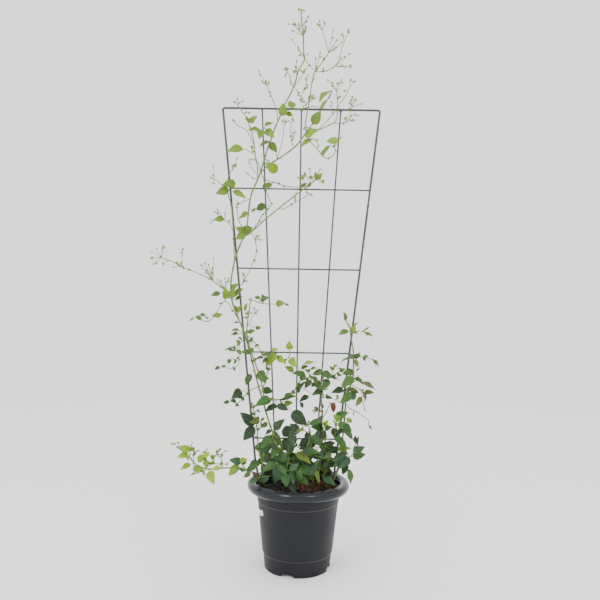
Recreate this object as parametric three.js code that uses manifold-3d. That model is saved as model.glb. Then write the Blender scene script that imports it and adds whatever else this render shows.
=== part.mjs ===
// A potted clematis in bud: a round nursery pot of potting mix, a fan-shaped wire trellis standing in it,
// and the leafy stems that grow from the mix and climb the wires.
// Millimetres, +Z up, -Y towards the viewer. The origin is the middle of the pot's foot, on the ground.
import * as THREE from 'three';
import { mergeVertices } from 'three/addons/utils/BufferGeometryUtils.js';
import Module from 'manifold-3d';

const wasm = await Module();
wasm.setup();

// ---- driving dimensions ----
const gap = 0.3; // clearance between pieces that touch

const pot = {
  sides: 28,
  wall: 2.4,
  footRadius: 80.3,
  footWidth: 5,
  shoulderRadius: 83.4,
  shoulderHeight: 37,
  wallPoints: [[86.3, 43], [98.8, 161], [102, 176]],
  rimCentre: 112.5,
  rimHeight: 198,
  rimRadius: 12.5,
  floorHeight: 6,
  centreFoot: 15,
  notchWidth: 34,
  notchHeight: 12,
  notchAngles: [-17, 73, 163, 253], // degrees round from the front
  drainHoleRadius: 6,
  drainHoleCircle: 45,
};

const mix = {
  top: 184,
  swell: 3,
  rings: [0.88, 0.6, 0.3], // shares of the top radius
  barkPieces: 7,
  barkLength: [14, 26],
  seed: 20611,
};

// degrees left of the front; it is stuck on askew, so one end is lower by `drop`
const label = { from: 59, to: 80, middle: 138, height: 13.5, drop: 6.5, thickness: 0.6 };

const trellis = {
  middleX: -8,
  topHeight: 1120,
  topHalfWidth: 193.3,
  lowBarHeight: 309,
  lowHalfWidth: 104.8,
  legEnd: 112,
  legBend: 260, // below this the legs are pressed in, to pass the rim
  legFeet: [-80, 76],
  cornerRadius: 5,
  frameWire: 2.75, // wire radii
  innerWire: 2,
  innerY: 0.8,
  crossbarY: 5.1,
  crossbarHeights: [924, 727, 521, 309],
  uprightFoot: 300,
  uprights: 3,
};

const leaf = {
  shape: 0.54, // width over length
  thickness: 1.1, // at the midrib
  camber: 0.07, // rise of the middle of the blade, as a share of its length
  fold: 0.04, // rise of the edges, as a share of the width
  petiole: 0.75, // stalk radius
  closeReach: 9,
  long: 40, // leaves from this length up get three stations, from `short` up two, and the rest one
  short: 22,
};

const bud = { length: 7, radius: 1.8, stalk: 0.55 };
const clear = { blade: 1.5, between: 4, pot: 3 };
const rootDepth = 34; // how far a stem stands in the mix
const soilHole = 0.45; // play of a stem in its hole
const rootStray = 0.5;

// ---- plants ----
// Each plant has the place of its root, then its stems as centre-line routes of [x, y, z]: the first stands
// in the mix and every other one starts at the nearest knot of those before it. A leaf is
// [x, z, heading, length, lean, turn]: the foot of its blade, the way it points as seen from the front
// (degrees, 0 = right, 90 = up), its length, how far it leans out of the trellis plane and how far it is
// turned about its midrib. A group of buds is the point that it springs from and then the tip of each bud.
const plants = [
  {
    name: 'main_vine',
    seed: 1001,
    root: [-44, -4],
    stems: [
      { radii: [2.4, 1.7], route: [
        [-40, -8, 229], [-46, -9, 264], [-54, -10, 296], [-62, -10, 320], [-72, -10, 344],
        [-82, -10, 376], [-91, -10, 405], [-100, -10, 434], [-109, -10, 466], [-118, -10, 500],
        [-126, -10, 527], [-134, -9, 556], [-143, -9, 580], [-157, -9, 612], [-170, -8, 643],
        [-174, -7, 673], [-173, -7, 697], [-169, -8, 727], [-162, -9, 756], [-155, -9, 778],
        [-143, -8, 805]
      ] },
      { radii: [1.7, 1.2], route: [
        [-143, -8, 805], [-136, -8, 827], [-134, -8, 857], [-132, -8, 881], [-126, -9, 913],
        [-116, -9, 935], [-109, -9, 950], [-104, -9, 967], [-95, -9, 999], [-88, -8, 1024],
        [-79, -8, 1049], [-72, -8, 1073], [-60, -8, 1098], [-51, -9, 1125], [-34, -8, 1157],
        [-23, -7, 1185], [-18, -6, 1214], [-1, -4, 1240], [-5, -3, 1255], [-6, -3, 1289], [-6, -3, 1309],
        [-12, -2, 1339], [-13, -2, 1356]
      ] },
      { radii: [1.5, 1.0], route: [
        [-143, -8, 805], [-129, -8, 813], [-117, -8, 823], [-100, -8, 840], [-73, -8, 863],
        [-49, -9, 883], [-25, -10, 902], [-3, -10, 919], [11, -9, 930], [23, -7, 941], [33, -6, 948]
      ] },
      { radii: [1.7, 1.0], route: [
        [-104, -9, 967], [-90, -9, 977], [-73, -9, 989], [-58, -8, 998], [-34, -8, 1015], [-17, -8, 1030],
        [-1, -8, 1053], [11, -8, 1070], [21, -8, 1085], [42, -9, 1119], [64, -7, 1159]
      ] },
      { radii: [1.5, 1.1], route: [
        [-91, -10, 405], [-90, -11, 430], [-95, -12, 454], [-104, -13, 478], [-112, -14, 500],
        [-120, -14, 522], [-127, -13, 546], [-133, -12, 568], [-131, -12, 595], [-127, -10, 622],
        [-125, -8, 649]
      ] },
      { radii: [1.3, 0.9], route: [
        [-91, -10, 405], [-73, -11, 408], [-48, -12, 406], [-34, -12, 414], [-19, -12, 424],
        [-10, -12, 434], [-5, -12, 446], [2, -12, 456], [14, -12, 458], [24, -14, 464], [19, -14, 478],
        [2, -14, 485]
      ] },
      { radii: [1.1, 0.8], route: [
        [-90, -11, 430], [-83, -14, 455], [-79, -15, 479], [-72, -15, 499], [-57, -15, 509],
        [-40, -15, 502], [-26, -14, 512], [-27, -14, 529]
      ] },
      { radii: [0.9, 0.7], route: [
        [-100, -10, 434], [-122, -14, 429], [-138, -16, 412], [-150, -16, 395], [-165, -16, 401]
      ] },
      { radii: [1.0, 0.7], route: [
        [-116, -9, 935], [-112, -11, 967], [-116, -12, 991], [-120, -12, 1010], [-123, -12, 1040],
        [-133, -12, 1071], [-141, -11, 1093], [-158, -9, 1116], [-164, -7, 1126]
      ] },
      { radii: [0.7, 0.6], route: [[-120, -12, 1006], [-134, -12, 1013], [-149, -12, 1017]] },
      { radii: [0.7, 0.6], route: [
        [-123, -12, 1040], [-134, -12, 1054], [-146, -12, 1067], [-162, -12, 1073], [-172, -12, 1083]
      ] },
      { radii: [0.9, 0.7], route: [
        [-117, -8, 823], [-107, -10, 842], [-100, -10, 857], [-86, -10, 870], [-76, -10, 884],
        [-86, -9, 902], [-91, -8, 919], [-97, -8, 941], [-104, -11, 962], [-113, -13, 986]
      ] },
      { radii: [0.8, 0.6], route: [
        [-73, -8, 863], [-47, -9, 872], [-30, -9, 883], [-8, -9, 896], [12, -9, 908]
      ] },
      { radii: [1.0, 0.7], route: [
        [-164, -9, 751], [-168, -9, 795], [-171, -9, 834], [-175, -9, 880], [-184, -10, 905],
        [-189, -12, 926], [-183, -8, 954], [-175, -8, 966]
      ] },
      { radii: [0.7, 0.6], route: [[-189, -12, 926], [-206, -13, 935], [-218, -13, 943]] },
      { radii: [0.7, 0.6], route: [[-168, -9, 834], [-180, -11, 839], [-192, -12, 843]] },
      { radii: [0.9, 0.7], route: [
        [-170, -8, 655], [-180, -9, 670], [-195, -10, 677], [-209, -11, 688], [-224, -12, 699],
        [-249, -13, 710], [-273, -14, 720], [-288, -14, 724], [-299, -14, 730], [-317, -14, 740],
        [-332, -14, 744], [-344, -14, 750]
      ] },
      { radii: [0.8, 0.6], route: [
        [-161, -8, 673], [-148, -9, 683], [-139, -10, 698], [-127, -11, 722], [-118, -11, 744],
        [-111, -10, 767], [-114, -9, 789], [-118, -8, 801], [-126, -8, 813]
      ] },
      { radii: [0.8, 0.7], route: [
        [-149, -9, 597], [-166, -11, 621], [-184, -13, 648], [-194, -15, 640], [-207, -17, 616],
        [-222, -18, 595], [-234, -18, 595], [-244, -18, 598]
      ] },
      { radii: [0.7, 0.5], route: [
        [-125, -8, 646], [-111, -11, 647], [-101, -12, 641], [-82, -12, 640], [-64, -12, 640]
      ] },
      { radii: [0.6, 0.5], route: [[-134, -12, 576], [-122, -15, 600], [-113, -16, 617]] },
      { radii: [1.2, 0.9], route: [
        [-1, -8, 1053], [2, -9, 1087], [8, -9, 1121], [12, -8, 1148], [17, -6, 1186], [21, -5, 1206],
        [28, -4, 1217], [45, -2, 1242], [57, -2, 1260]
      ] },
      { radii: [0.7, 0.6], route: [
        [31, -4, 1214], [41, -6, 1211], [53, -7, 1213], [65, -8, 1219], [78, -8, 1229], [84, -8, 1250],
        [92, -8, 1282], [103, -8, 1306]
      ] },
      { radii: [0.7, 0.6], route: [[57, -2, 1260], [49, 0, 1287], [39, 2, 1317]] },
      { radii: [1.0, 0.8], route: [
        [11, -8, 1070], [28, -8, 1068], [41, -8, 1070], [60, -8, 1080], [79, -8, 1089], [80, -9, 1112],
        [81, -8, 1144], [77, -7, 1164]
      ] },
      { radii: [0.7, 0.6], route: [
        [41, -8, 1070], [60, -9, 1095], [76, -10, 1117], [91, -9, 1139], [103, -8, 1157], [110, -7, 1177]
      ] },
      { radii: [0.7, 0.6], route: [
        [79, -8, 1088], [94, -9, 1084], [111, -9, 1092], [111, -9, 1120], [116, -8, 1125]
      ] },
      { radii: [0.8, 0.6], route: [
        [-1, -8, 1053], [14, -10, 1038], [27, -11, 1027], [37, -11, 1015], [47, -11, 1001],
        [59, -10, 997], [71, -9, 1005], [78, -9, 1017], [74, -10, 1026], [66, -11, 1028]
      ] },
      { radii: [0.6, 0.5], route: [[16, -10, 1050], [29, -12, 1042], [35, -12, 1030], [32, -11, 1021]] },
      { radii: [0.8, 0.6], route: [
        [-60, -8, 1098], [-68, -9, 1115], [-78, -8, 1137], [-86, -7, 1157], [-92, -7, 1174]
      ] },
      { radii: [0.8, 0.6], route: [[-34, -8, 1157], [-37, -8, 1179], [-35, -8, 1196], [-44, -8, 1207]] },
      { radii: [0.6, 0.5], route: [[-23, -7, 1185], [-17, -7, 1160], [-13, -8, 1143], [-5, -8, 1158]] },
      { radii: [0.6, 0.5], route: [[-23, -7, 1185], [-13, -7, 1192], [-6, -7, 1205]] },
      { radii: [0.8, 0.6], route: [
        [-51, -9, 1125], [-34, -10, 1116], [-13, -9, 1116], [5, -9, 1122], [23, -9, 1126], [35, -9, 1123]
      ] },
      { radii: [0.7, 0.6], route: [[-59, -8, 999], [-54, -10, 1034], [-51, -10, 1063], [-49, -10, 1078]] },
      { radii: [0.7, 0.6], route: [[-32, -8, 1016], [-34, -10, 1049], [-32, -10, 1083]] },
      { radii: [0.6, 0.5], route: [[-111, -9, 943], [-123, -12, 946], [-133, -13, 954]] },
    ],
    leaves: [
      [-27, 530, 90, 30, 40, 0], [-59, 520, 230, 43, 0, 40], [-55, 512, 330, 27, 35, 0],
      [-24, 508, 305, 32, 40, 0], [-16, 478, 155, 26, 0, 30], [9, 495, 10, 32, 0, 70],
      [14, 462, 155, 38, 0, 55], [-120, 468, 245, 30, 0, 25], [-101, 476, 305, 39, 30, 0],
      [-91, 432, 335, 32, 35, 0], [-143, 427, 215, 39, 50, 0], [-70, 407, 200, 42, 0, 35],
      [-55, 393, 205, 34, 0, 50], [-54, 395, 340, 30, 0, 25], [-41, 407, 20, 36, 0, 60],
      [-6, 426, 55, 37, 0, 60], [27, 456, 230, 25, 0, 25], [-18, 378, 320, 50, 0, 5],
      [22, 416, 210, 28, 0, 50], [-62, 641, 5, 27, 30, 0], [-173, 670, 45, 29, 0, 35],
      [-168, 656, 40, 36, 0, 50], [-185, 650, 95, 31, 0, 30], [-178, 653, 80, 27, 0, 50],
      [-168, 654, 80, 28, 0, 35], [-199, 664, 195, 24, 0, 30], [-151, 810, 35, 41, 35, 0],
      [-143, 808, 220, 32, 45, 0], [-134, 862, 210, 27, 0, 40], [-91, 881, 195, 32, 35, 0],
      [-193, 846, 185, 25, 0, 5], [-172, 913, 340, 36, 0, 45], [-166, 933, 195, 36, 30, 0],
      [-182, 918, 200, 34, 10, 0], [-149, 1017, 190, 40, 0, 35], [-65, 963, 145, 41, 30, 0],
      [-85, 1038, 215, 29, 0, 40], [-85, 1038, 310, 30, 15, 0], [-94, 1067, 315, 32, 20, 0],
      [-96, 1073, 25, 27, 0, 45], [-102, 1063, 255, 34, 35, 0], [-112, 1068, 195, 27, 0, 40],
      [-132, 1082, 40, 24, 0, 15], [-53, 1101, 90, 34, 30, 0], [-41, 1119, 30, 30, 40, 0],
      [66, 1164, 225, 45, 0, 60], [60, 1155, 240, 42, 0, 70], [21, 1082, 60, 39, 20, 0],
      [2, 1050, 25, 37, 0, 30], [20, 1044, 215, 37, 0, 50], [83, 1038, 170, 30, 0, 15],
      [44, 1004, 50, 33, 0, 50]
    ],
    buds: [
      [[-13, 1356], [-22, 1366]], [[-6, 1309], [-34, 1332], [-1, 1344]], [[-5, 1255], [-37, 1294]],
      [[-2, 1324], [7, 1347]], [[39, 1317], [31, 1339]], [[57, 1260], [66, 1313]],
      [[103, 1306], [100, 1314]], [[78, 1229], [110, 1253]], [[28, 1217], [36, 1259]],
      [[53, 1213], [42, 1220]], [[77, 1164], [91, 1199]], [[110, 1177], [121, 1192]],
      [[116, 1125], [116, 1154]], [[111, 1098], [135, 1106]], [[-92, 1174], [-115, 1208]],
      [[-44, 1207], [-53, 1217]], [[-6, 1205], [3, 1222]], [[-5, 1158], [8, 1200]],
      [[-164, 1126], [-165, 1145]], [[-172, 1083], [-178, 1089]], [[-143, 1096], [-132, 1108]],
      [[-133, 954], [-141, 961]], [[-175, 966], [-162, 998]], [[-218, 943], [-221, 977]],
      [[-195, 847], [-212, 872]], [[-115, 796], [-103, 810]], [[-139, 698], [-145, 717]],
      [[-190, 675], [-209, 701]], [[-224, 699], [-218, 754], [-249, 735]], [[-299, 730], [-290, 773]],
      [[-344, 750], [-371, 765], [-337, 781]], [[-125, 649], [-121, 655]], [[-113, 617], [-101, 627]],
      [[-49, 1078], [-42, 1090]], [[-32, 1083], [-40, 1090]], [[-32, 1030], [-27, 1066]],
      [[12, 908], [21, 911]], [[-13, 895], [-17, 915]], [[33, 948], [41, 975]], [[16, 945], [14, 978]]
    ],
  },
  {
    name: 'left_stem',
    seed: 2001,
    root: [-84, -14],
    stems: [
      { radii: [1.6, 1.0], route: [
        [-85, -20, 237], [-89, -22, 261], [-98, -22, 288], [-101, -22, 312], [-101, -22, 334],
        [-105, -21, 351], [-109, -19, 370], [-113, -17, 386], [-120, -14, 398]
      ] },
    ],
    leaves: [
      [-112, 342, 135, 48, 0, 40], [-109, 339, 230, 43, 0, 15], [-97, 360, 185, 36, 55, 0],
      [-94, 256, 215, 37, 0, 50]
    ],
    buds: [
      [[-89, 269], [-94, 277]]
    ],
  },
  {
    name: 'trailing_branch',
    seed: 3001,
    root: [-76, -36],
    stems: [
      { radii: [1.7, 1.1], route: [
        [-92, -44, 219], [-103, -48, 233], [-117, -50, 244], [-133, -50, 247], [-157, -48, 248],
        [-185, -46, 247], [-212, -44, 242], [-229, -42, 245], [-244, -41, 249], [-256, -40, 263],
        [-265, -40, 275], [-280, -40, 285], [-292, -40, 293]
      ] },
      { radii: [0.8, 0.6], route: [[-212, -44, 242], [-226, -46, 239], [-242, -47, 234]] },
      { radii: [0.8, 0.6], route: [
        [-212, -44, 242], [-215, -42, 255], [-221, -42, 264], [-226, -42, 271]
      ] },
      { radii: [0.7, 0.6], route: [
        [-213, -43, 250], [-205, -46, 257], [-188, -47, 257], [-173, -48, 256]
      ] },
      { radii: [0.7, 0.6], route: [[-188, -47, 257], [-187, -47, 273], [-180, -47, 284]] },
      { radii: [0.7, 0.6], route: [[-262, -40, 271], [-261, -42, 285], [-258, -43, 295]] },
      { radii: [0.7, 0.6], route: [[-133, -50, 247], [-137, -54, 261], [-138, -55, 271]] },
    ],
    leaves: [
      [-260, 289, 160, 32, 20, 0], [-265, 275, 190, 26, 0, 40], [-259, 253, 205, 24, 0, 45],
      [-231, 277, 245, 27, 20, 0], [-251, 248, 315, 36, 45, 0], [-213, 238, 300, 36, 35, 0],
      [-137, 264, 165, 29, 0, 20], [-143, 254, 225, 33, 0, 25], [-102, 255, 210, 27, 0, 40],
      [-72, 226, 210, 25, 0, 20]
    ],
    buds: [
      [[-292, 293], [-289, 307]], [[-173, 256], [-169, 261]], [[-180, 284], [-173, 290]],
      [[-224, 240], [-219, 258]], [[-226, 271], [-219, 293]]
    ],
  },
  {
    name: 'upright_stem',
    seed: 4001,
    root: [42, -8],
    stems: [
      { radii: [2.0, 1.2], route: [
        [50, -14, 232], [53, -18, 268], [56, -18, 297], [57, -16, 326], [54, -14, 350], [56, -12, 376],
        [53, -11, 400], [52, -11, 425], [56, -14, 445], [56, -16, 464], [54, -16, 479]
      ] },
      { radii: [0.8, 0.6], route: [
        [57, -13, 362], [66, -15, 379], [70, -16, 392], [76, -16, 399], [83, -16, 403]
      ] },
      { radii: [0.8, 0.6], route: [
        [54, -16, 469], [65, -19, 467], [77, -20, 467], [78, -20, 482], [81, -20, 491]
      ] },
      { radii: [0.7, 0.6], route: [[56, -12, 379], [45, -14, 387], [36, -16, 384]] },
    ],
    leaves: [
      [54, 479, 200, 27, 0, 20], [55, 478, 330, 28, 0, 10], [69, 459, 235, 32, 30, 0],
      [39, 452, 310, 30, 40, 0], [56, 432, 200, 30, 0, 40], [83, 402, 270, 25, 0, 20],
      [52, 335, 90, 39, 0, 55], [55, 334, 290, 28, 0, 35], [50, 362, 200, 31, 0, 50],
      [60, 334, 160, 37, 0, 55], [58, 309, 180, 63, 0, 60], [53, 304, 300, 26, 30, 0],
      [44, 313, 225, 36, 0, 40]
    ],
    buds: [
      [[36, 384], [35, 374]], [[56, 425], [64, 433]], [[54, 410], [60, 421]], [[59, 311], [64, 316]]
    ],
  },
  {
    name: 'centre_stem',
    seed: 5001,
    root: [4, -30],
    stems: [
      { radii: [1.8, 1.1], route: [
        [6, -42, 234], [10, -46, 269], [19, -46, 300], [27, -42, 323], [26, -38, 339], [20, -34, 352]
      ] },
      { radii: [0.9, 0.7], route: [[26, -40, 333], [9, -42, 340], [-3, -42, 344]] },
      { radii: [0.9, 0.7], route: [[12, -46, 281], [-5, -48, 303], [-19, -46, 323], [-32, -44, 332]] },
    ],
    leaves: [
      [-42, 336, 0, 43, 0, 30], [-1, 338, 145, 28, 0, 15], [25, 337, 245, 26, 0, 45],
      [-20, 333, 290, 32, 45, 0], [28, 326, 315, 34, 0, 30], [26, 316, 210, 32, 0, 40],
      [15, 288, 0, 36, 0, 50], [-7, 289, 330, 42, 0, 45], [13, 268, 165, 35, 0, 45],
      [60, 275, 175, 36, 0, 45], [15, 264, 330, 31, 0, 15], [-16, 266, 320, 31, 0, 15],
      [3, 257, 325, 41, 0, 45], [26, 305, 225, 27, 10, 0], [-31, 322, 265, 26, 20, 0],
      [-14, 302, 235, 29, 0, 20], [2, 298, 10, 27, 0, 50]
    ],
    buds: [
      [[21, 348], [23, 358]], [[28, 330], [19, 337]]
    ],
  },
  {
    name: 'front_stem',
    seed: 6001,
    root: [-32, -48],
    stems: [
      { radii: [1.8, 1.1], route: [
        [-29, -62, 225], [-30, -66, 247], [-26, -66, 264], [-26, -62, 277], [-38, -58, 292]
      ] },
      { radii: [1.0, 0.7], route: [[-26, -66, 264], [-13, -72, 261], [-4, -76, 250]] },
      { radii: [1.0, 0.7], route: [[-30, -66, 247], [-42, -70, 260], [-54, -70, 269]] },
    ],
    leaves: [
      [-21, 275, 175, 38, 0, 35], [-25, 263, 185, 35, 0, 40], [-42, 258, 250, 48, 0, 40],
      [-33, 247, 280, 35, 10, 0], [-46, 262, 315, 24, 0, 30], [-18, 251, 280, 31, 0, 40],
      [5, 260, 250, 27, 25, 0], [-20, 218, 305, 26, 0, 15], [-8, 234, 330, 38, 0, 50],
      [-55, 302, 250, 29, 25, 0], [-54, 269, 210, 36, 0, 40], [-4, 248, 310, 25, 0, 25],
      [-20, 256, 35, 27, 20, 0], [-69, 327, 230, 36, 10, 0], [-57, 325, 225, 36, 0, 20],
      [-58, 344, 50, 35, 0, 40], [-26, 293, 75, 25, 0, 25], [-37, 277, 70, 25, 0, 25]
    ],
    buds: [],
  },
  {
    name: 'yellow_stem',
    seed: 7001,
    root: [34, -46],
    stems: [
      { radii: [1.5, 1.0], route: [[35, -54, 224], [36, -58, 249], [39, -58, 268]] },
    ],
    leaves: [
      [35, 250, 295, 33, 0, 50], [39, 268, 235, 27, 20, 0], [39, 268, 310, 24, 0, 15],
      [35, 239, 230, 24, 0, 30]
    ],
    buds: [],
  },
  {
    name: 'right_inner_stem',
    seed: 8001,
    root: [60, -22],
    stems: [
      { radii: [1.5, 0.9], route: [[62, -26, 221], [66, -30, 247], [73, -32, 271], [77, -32, 293]] },
    ],
    leaves: [
      [64, 231, 80, 39, 0, 45], [59, 225, 335, 33, 0, 50], [93, 295, 195, 29, 10, 0],
      [65, 306, 10, 24, 0, 45]
    ],
    buds: [
      [[73, 274], [78, 263]]
    ],
  },
  {
    name: 'right_front_stem',
    seed: 9003,
    root: [78, -30],
    stems: [
      { radii: [1.8, 1.1], route: [
        [90, -34, 234], [102, -38, 259], [111, -40, 281], [108, -40, 303], [96, -38, 326], [87, -34, 347],
        [89, -32, 363]
      ] },
      { radii: [0.9, 0.7], route: [[111, -40, 276], [122, -46, 277], [131, -50, 289], [137, -52, 306]] },
      { radii: [0.8, 0.6], route: [[102, -38, 259], [113, -44, 263], [120, -48, 255]] },
    ],
    leaves: [
      [88, 370, 25, 33, 0, 15], [98, 365, 140, 26, 15, 0], [103, 354, 325, 29, 0, 20],
      [105, 347, 310, 34, 0, 45], [81, 344, 290, 30, 0, 15], [85, 326, 320, 38, 0, 45],
      [94, 293, 10, 34, 0, 55], [111, 286, 200, 36, 0, 30], [101, 271, 225, 27, 5, 0],
      [121, 276, 220, 38, 25, 0], [118, 259, 245, 30, 0, 40], [118, 251, 280, 36, 0, 45],
      [139, 308, 85, 24, 0, 60], [131, 299, 25, 29, 10, 0], [129, 279, 15, 32, 0, 20]
    ],
    buds: [
      [[88, 358], [92, 350]], [[111, 286], [105, 280]]
    ],
  },
  {
    name: 'right_leg_vine',
    seed: 10002,
    root: [76, 18],
    stems: [
      { radii: [2.0, 1.2], route: [
        [95, 12, 226], [103, 0, 264], [106, -10, 298], [107, -12, 331], [110, -12, 360], [111, -11, 384],
        [113, -11, 414], [120, -11, 436], [128, -10, 458], [130, -9, 482], [130, -9, 506], [129, -9, 531],
        [125, -9, 550], [122, -10, 565], [121, -11, 580], [116, -12, 592], [109, -13, 603]
      ] },
      { radii: [0.7, 0.6], route: [
        [130, -9, 506], [141, -10, 516], [153, -10, 514], [170, -10, 511], [182, -10, 505],
        [190, -10, 497]
      ] },
      { radii: [0.8, 0.6], route: [[128, -10, 458], [139, -13, 459], [150, -15, 454]] },
      { radii: [0.8, 0.6], route: [[122, -11, 437], [139, -14, 439], [150, -16, 434], [157, -16, 428]] },
      { radii: [0.7, 0.6], route: [
        [149, -16, 434], [154, -18, 423], [159, -18, 411], [153, -18, 401], [159, -18, 391]
      ] },
      { radii: [0.8, 0.6], route: [[112, -11, 396], [98, -14, 403], [86, -16, 409]] },
    ],
    leaves: [
      [116, 577, 200, 27, 0, 40], [119, 511, 205, 24, 0, 65], [171, 510, 320, 28, 0, 75],
      [131, 478, 190, 30, 0, 30], [129, 467, 220, 41, 0, 40], [132, 462, 330, 27, 0, 55],
      [150, 454, 335, 36, 0, 60], [157, 427, 5, 26, 0, 45], [111, 431, 10, 31, 0, 55],
      [124, 428, 300, 32, 40, 0], [150, 418, 235, 27, 15, 0], [122, 428, 220, 35, 20, 0],
      [109, 428, 190, 33, 0, 40]
    ],
    buds: [
      [[86, 409], [95, 419]]
    ],
  },
];

// Plants at the back of the pot: leaves in pairs, placed by rule.
const backPlants = [
  { name: 'back_stem_left', seed: 11001, root: [-46, 42], route: [[-48, 48, 215], [-56, 54, 240], [-58, 56, 270]] },
  { name: 'back_stem_right', seed: 12001, root: [36, 46], route: [[40, 50, 215], [48, 54, 242], [46, 54, 276]] },
];

// ---- seeded random numbers ----
// Each piece draws from a row of its own, so a change to one leaves the others as they are.
function randomRow(seed) {
  let state = seed;
  return () => {
    state = (Math.imul(state, 1664525) + 1013904223) >>> 0;
    return state / 4294967296;
  };
}

// ---- geometry helpers ----
const radians = (degrees) => (degrees * Math.PI) / 180;

// A closed body from rings of points, all of one length; a ring of one point is a tip.
function loft(rings) {
  const positions = [];
  const index = [];
  const starts = rings.map((ring) => {
    const start = positions.length / 3;
    ring.forEach((p) => positions.push(p.x, p.y, p.z));
    return start;
  });
  const sides = Math.max(...rings.map((ring) => ring.length));
  for (let i = 0; i < rings.length - 1; i += 1) {
    for (let k = 0; k < sides; k += 1) {
      const next = (k + 1) % sides;
      const lowTip = rings[i].length === 1;
      const highTip = rings[i + 1].length === 1;
      const a = starts[i] + (lowTip ? 0 : k);
      const b = starts[i] + (lowTip ? 0 : next);
      const c = starts[i + 1] + (highTip ? 0 : k);
      const d = starts[i + 1] + (highTip ? 0 : next);
      if (!lowTip) index.push(a, b, highTip ? c : d);
      if (!highTip) index.push(a, d, c);
    }
  }
  [0, rings.length - 1].forEach((end) => {
    for (let k = 1; k < rings[end].length - 1; k += 1) {
      const fan = [starts[end], starts[end] + k, starts[end] + k + 1];
      index.push(...(end === 0 ? fan.reverse() : fan));
    }
  });
  const geometry = new THREE.BufferGeometry();
  geometry.setAttribute('position', new THREE.Float32BufferAttribute(positions, 3));
  geometry.setIndex(index);
  return geometry;
}

function signedVolume(positions, index) {
  const corner = (i) => new THREE.Vector3().fromArray(positions, 3 * index[i]);
  let volume = 0;
  for (let i = 0; i < index.length; i += 3) {
    volume += corner(i).dot(corner(i + 1).cross(corner(i + 2))) / 6;
  }
  return volume;
}

// The solid of a closed geometry, with its faces turned outwards.
function solid(geometry) {
  const bare = geometry.clone();
  bare.deleteAttribute('normal');
  bare.deleteAttribute('uv');
  const merged = mergeVertices(bare, 1e-4);
  const positions = merged.attributes.position.array;
  const index = Array.from(merged.index.array);
  if (signedVolume(positions, index) < 0) index.reverse();
  const mesh = new wasm.Mesh({
    numProp: 3,
    vertProperties: Float32Array.from(positions),
    triVerts: Uint32Array.from(index),
  });
  return new wasm.Manifold(mesh);
}

function geometryOf(manifold) {
  const mesh = manifold.getMesh();
  const geometry = new THREE.BufferGeometry();
  geometry.setAttribute('position', new THREE.Float32BufferAttribute(mesh.vertProperties, 3));
  geometry.setIndex(Array.from(mesh.triVerts));
  return geometry;
}

// Rings square to a route, each carried on from the one before so that the tube doesn't twist.
function tube(points, radii, sides) {
  const last = points.length - 1;
  let across = null;
  return loft(points.map((point, i) => {
    const before = points[Math.max(i - 1, 0)];
    const after = points[Math.min(i + 1, last)];
    const along = after.clone().sub(before).normalize();
    across ??= Math.abs(along.x) < 0.9 ? new THREE.Vector3(1, 0, 0) : new THREE.Vector3(0, 0, 1);
    across = across.clone().addScaledVector(along, -across.dot(along)).normalize();
    const up = along.clone().cross(across);
    const radius = THREE.MathUtils.lerp(radii[0], radii[1], i / last);
    return Array.from({ length: sides }, (_, k) => {
      const turn = (2 * Math.PI * k) / sides;
      return point.clone()
        .addScaledVector(across, radius * Math.cos(turn))
        .addScaledVector(up, radius * Math.sin(turn));
    });
  }));
}

const vector = ([x, y, z]) => new THREE.Vector3(x, y, z);

const group = new THREE.Group();

function addPiece(name, geometry, colour, roughness, metalness) {
  geometry.computeVertexNormals();
  const material = new THREE.MeshStandardMaterial({ color: colour, roughness, metalness });
  const mesh = new THREE.Mesh(geometry, material);
  mesh.name = name;
  group.add(mesh);
}

// ---- pot ----
// Outer wall from the foot up, round the rolled rim, and down the inner wall to the floor.
function potProfile() {
  const rim = [];
  for (let turn = -110; turn <= 215; turn += 65) {
    rim.push([
      pot.rimCentre + pot.rimRadius * Math.cos(radians(turn)),
      pot.rimHeight + pot.rimRadius * Math.sin(radians(turn)),
    ]);
  }
  const inner = pot.wallPoints.slice(0, -1).map(([r, z]) => [r - pot.wall, z]).reverse();
  return [
    [0, 0], [pot.centreFoot, 0], [pot.centreFoot + 1.5, pot.floorHeight],
    [pot.footRadius - pot.footWidth - 1.5, pot.floorHeight], [pot.footRadius - pot.footWidth, 0],
    [pot.footRadius, 0], [pot.shoulderRadius, pot.shoulderHeight], ...pot.wallPoints, ...rim, ...inner,
    [pot.shoulderRadius - pot.wall, pot.shoulderHeight],
    [pot.footRadius - pot.wall, pot.floorHeight + pot.wall], [0, pot.floorHeight + pot.wall],
  ].map(([r, z]) => new THREE.Vector2(r, z));
}

function makePot() {
  const turned = new THREE.LatheGeometry(potProfile(), pot.sides);
  turned.rotateX(Math.PI / 2); // the profile's y becomes z
  let body = solid(turned);
  pot.notchAngles.forEach((angle) => {
    const arch = new THREE.Shape();
    const half = pot.notchWidth / 2;
    arch.moveTo(-half, -1);
    arch.lineTo(half, -1);
    arch.lineTo(half, pot.notchHeight * 0.45);
    arch.absellipse(0, pot.notchHeight * 0.45, half, pot.notchHeight * 0.55, 0, Math.PI);
    const cutter = new THREE.ExtrudeGeometry(arch, { depth: 20, bevelEnabled: false, curveSegments: 3 });
    cutter.rotateX(Math.PI / 2); // the arch stands up and runs towards -Y
    cutter.translate(0, -(pot.footRadius - pot.footWidth - 6), 0);
    cutter.rotateZ(radians(angle));
    body = body.subtract(solid(cutter));
  });
  for (let i = 0; i < 4; i += 1) {
    const drill = new THREE.CylinderGeometry(pot.drainHoleRadius, pot.drainHoleRadius, 30, 8);
    drill.rotateX(Math.PI / 2);
    drill.translate(pot.drainHoleCircle, 0, pot.floorHeight);
    drill.rotateZ(radians(pot.notchAngles[i]) - Math.PI / 4);
    body = body.subtract(solid(drill));
  }
  return geometryOf(body);
}

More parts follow.
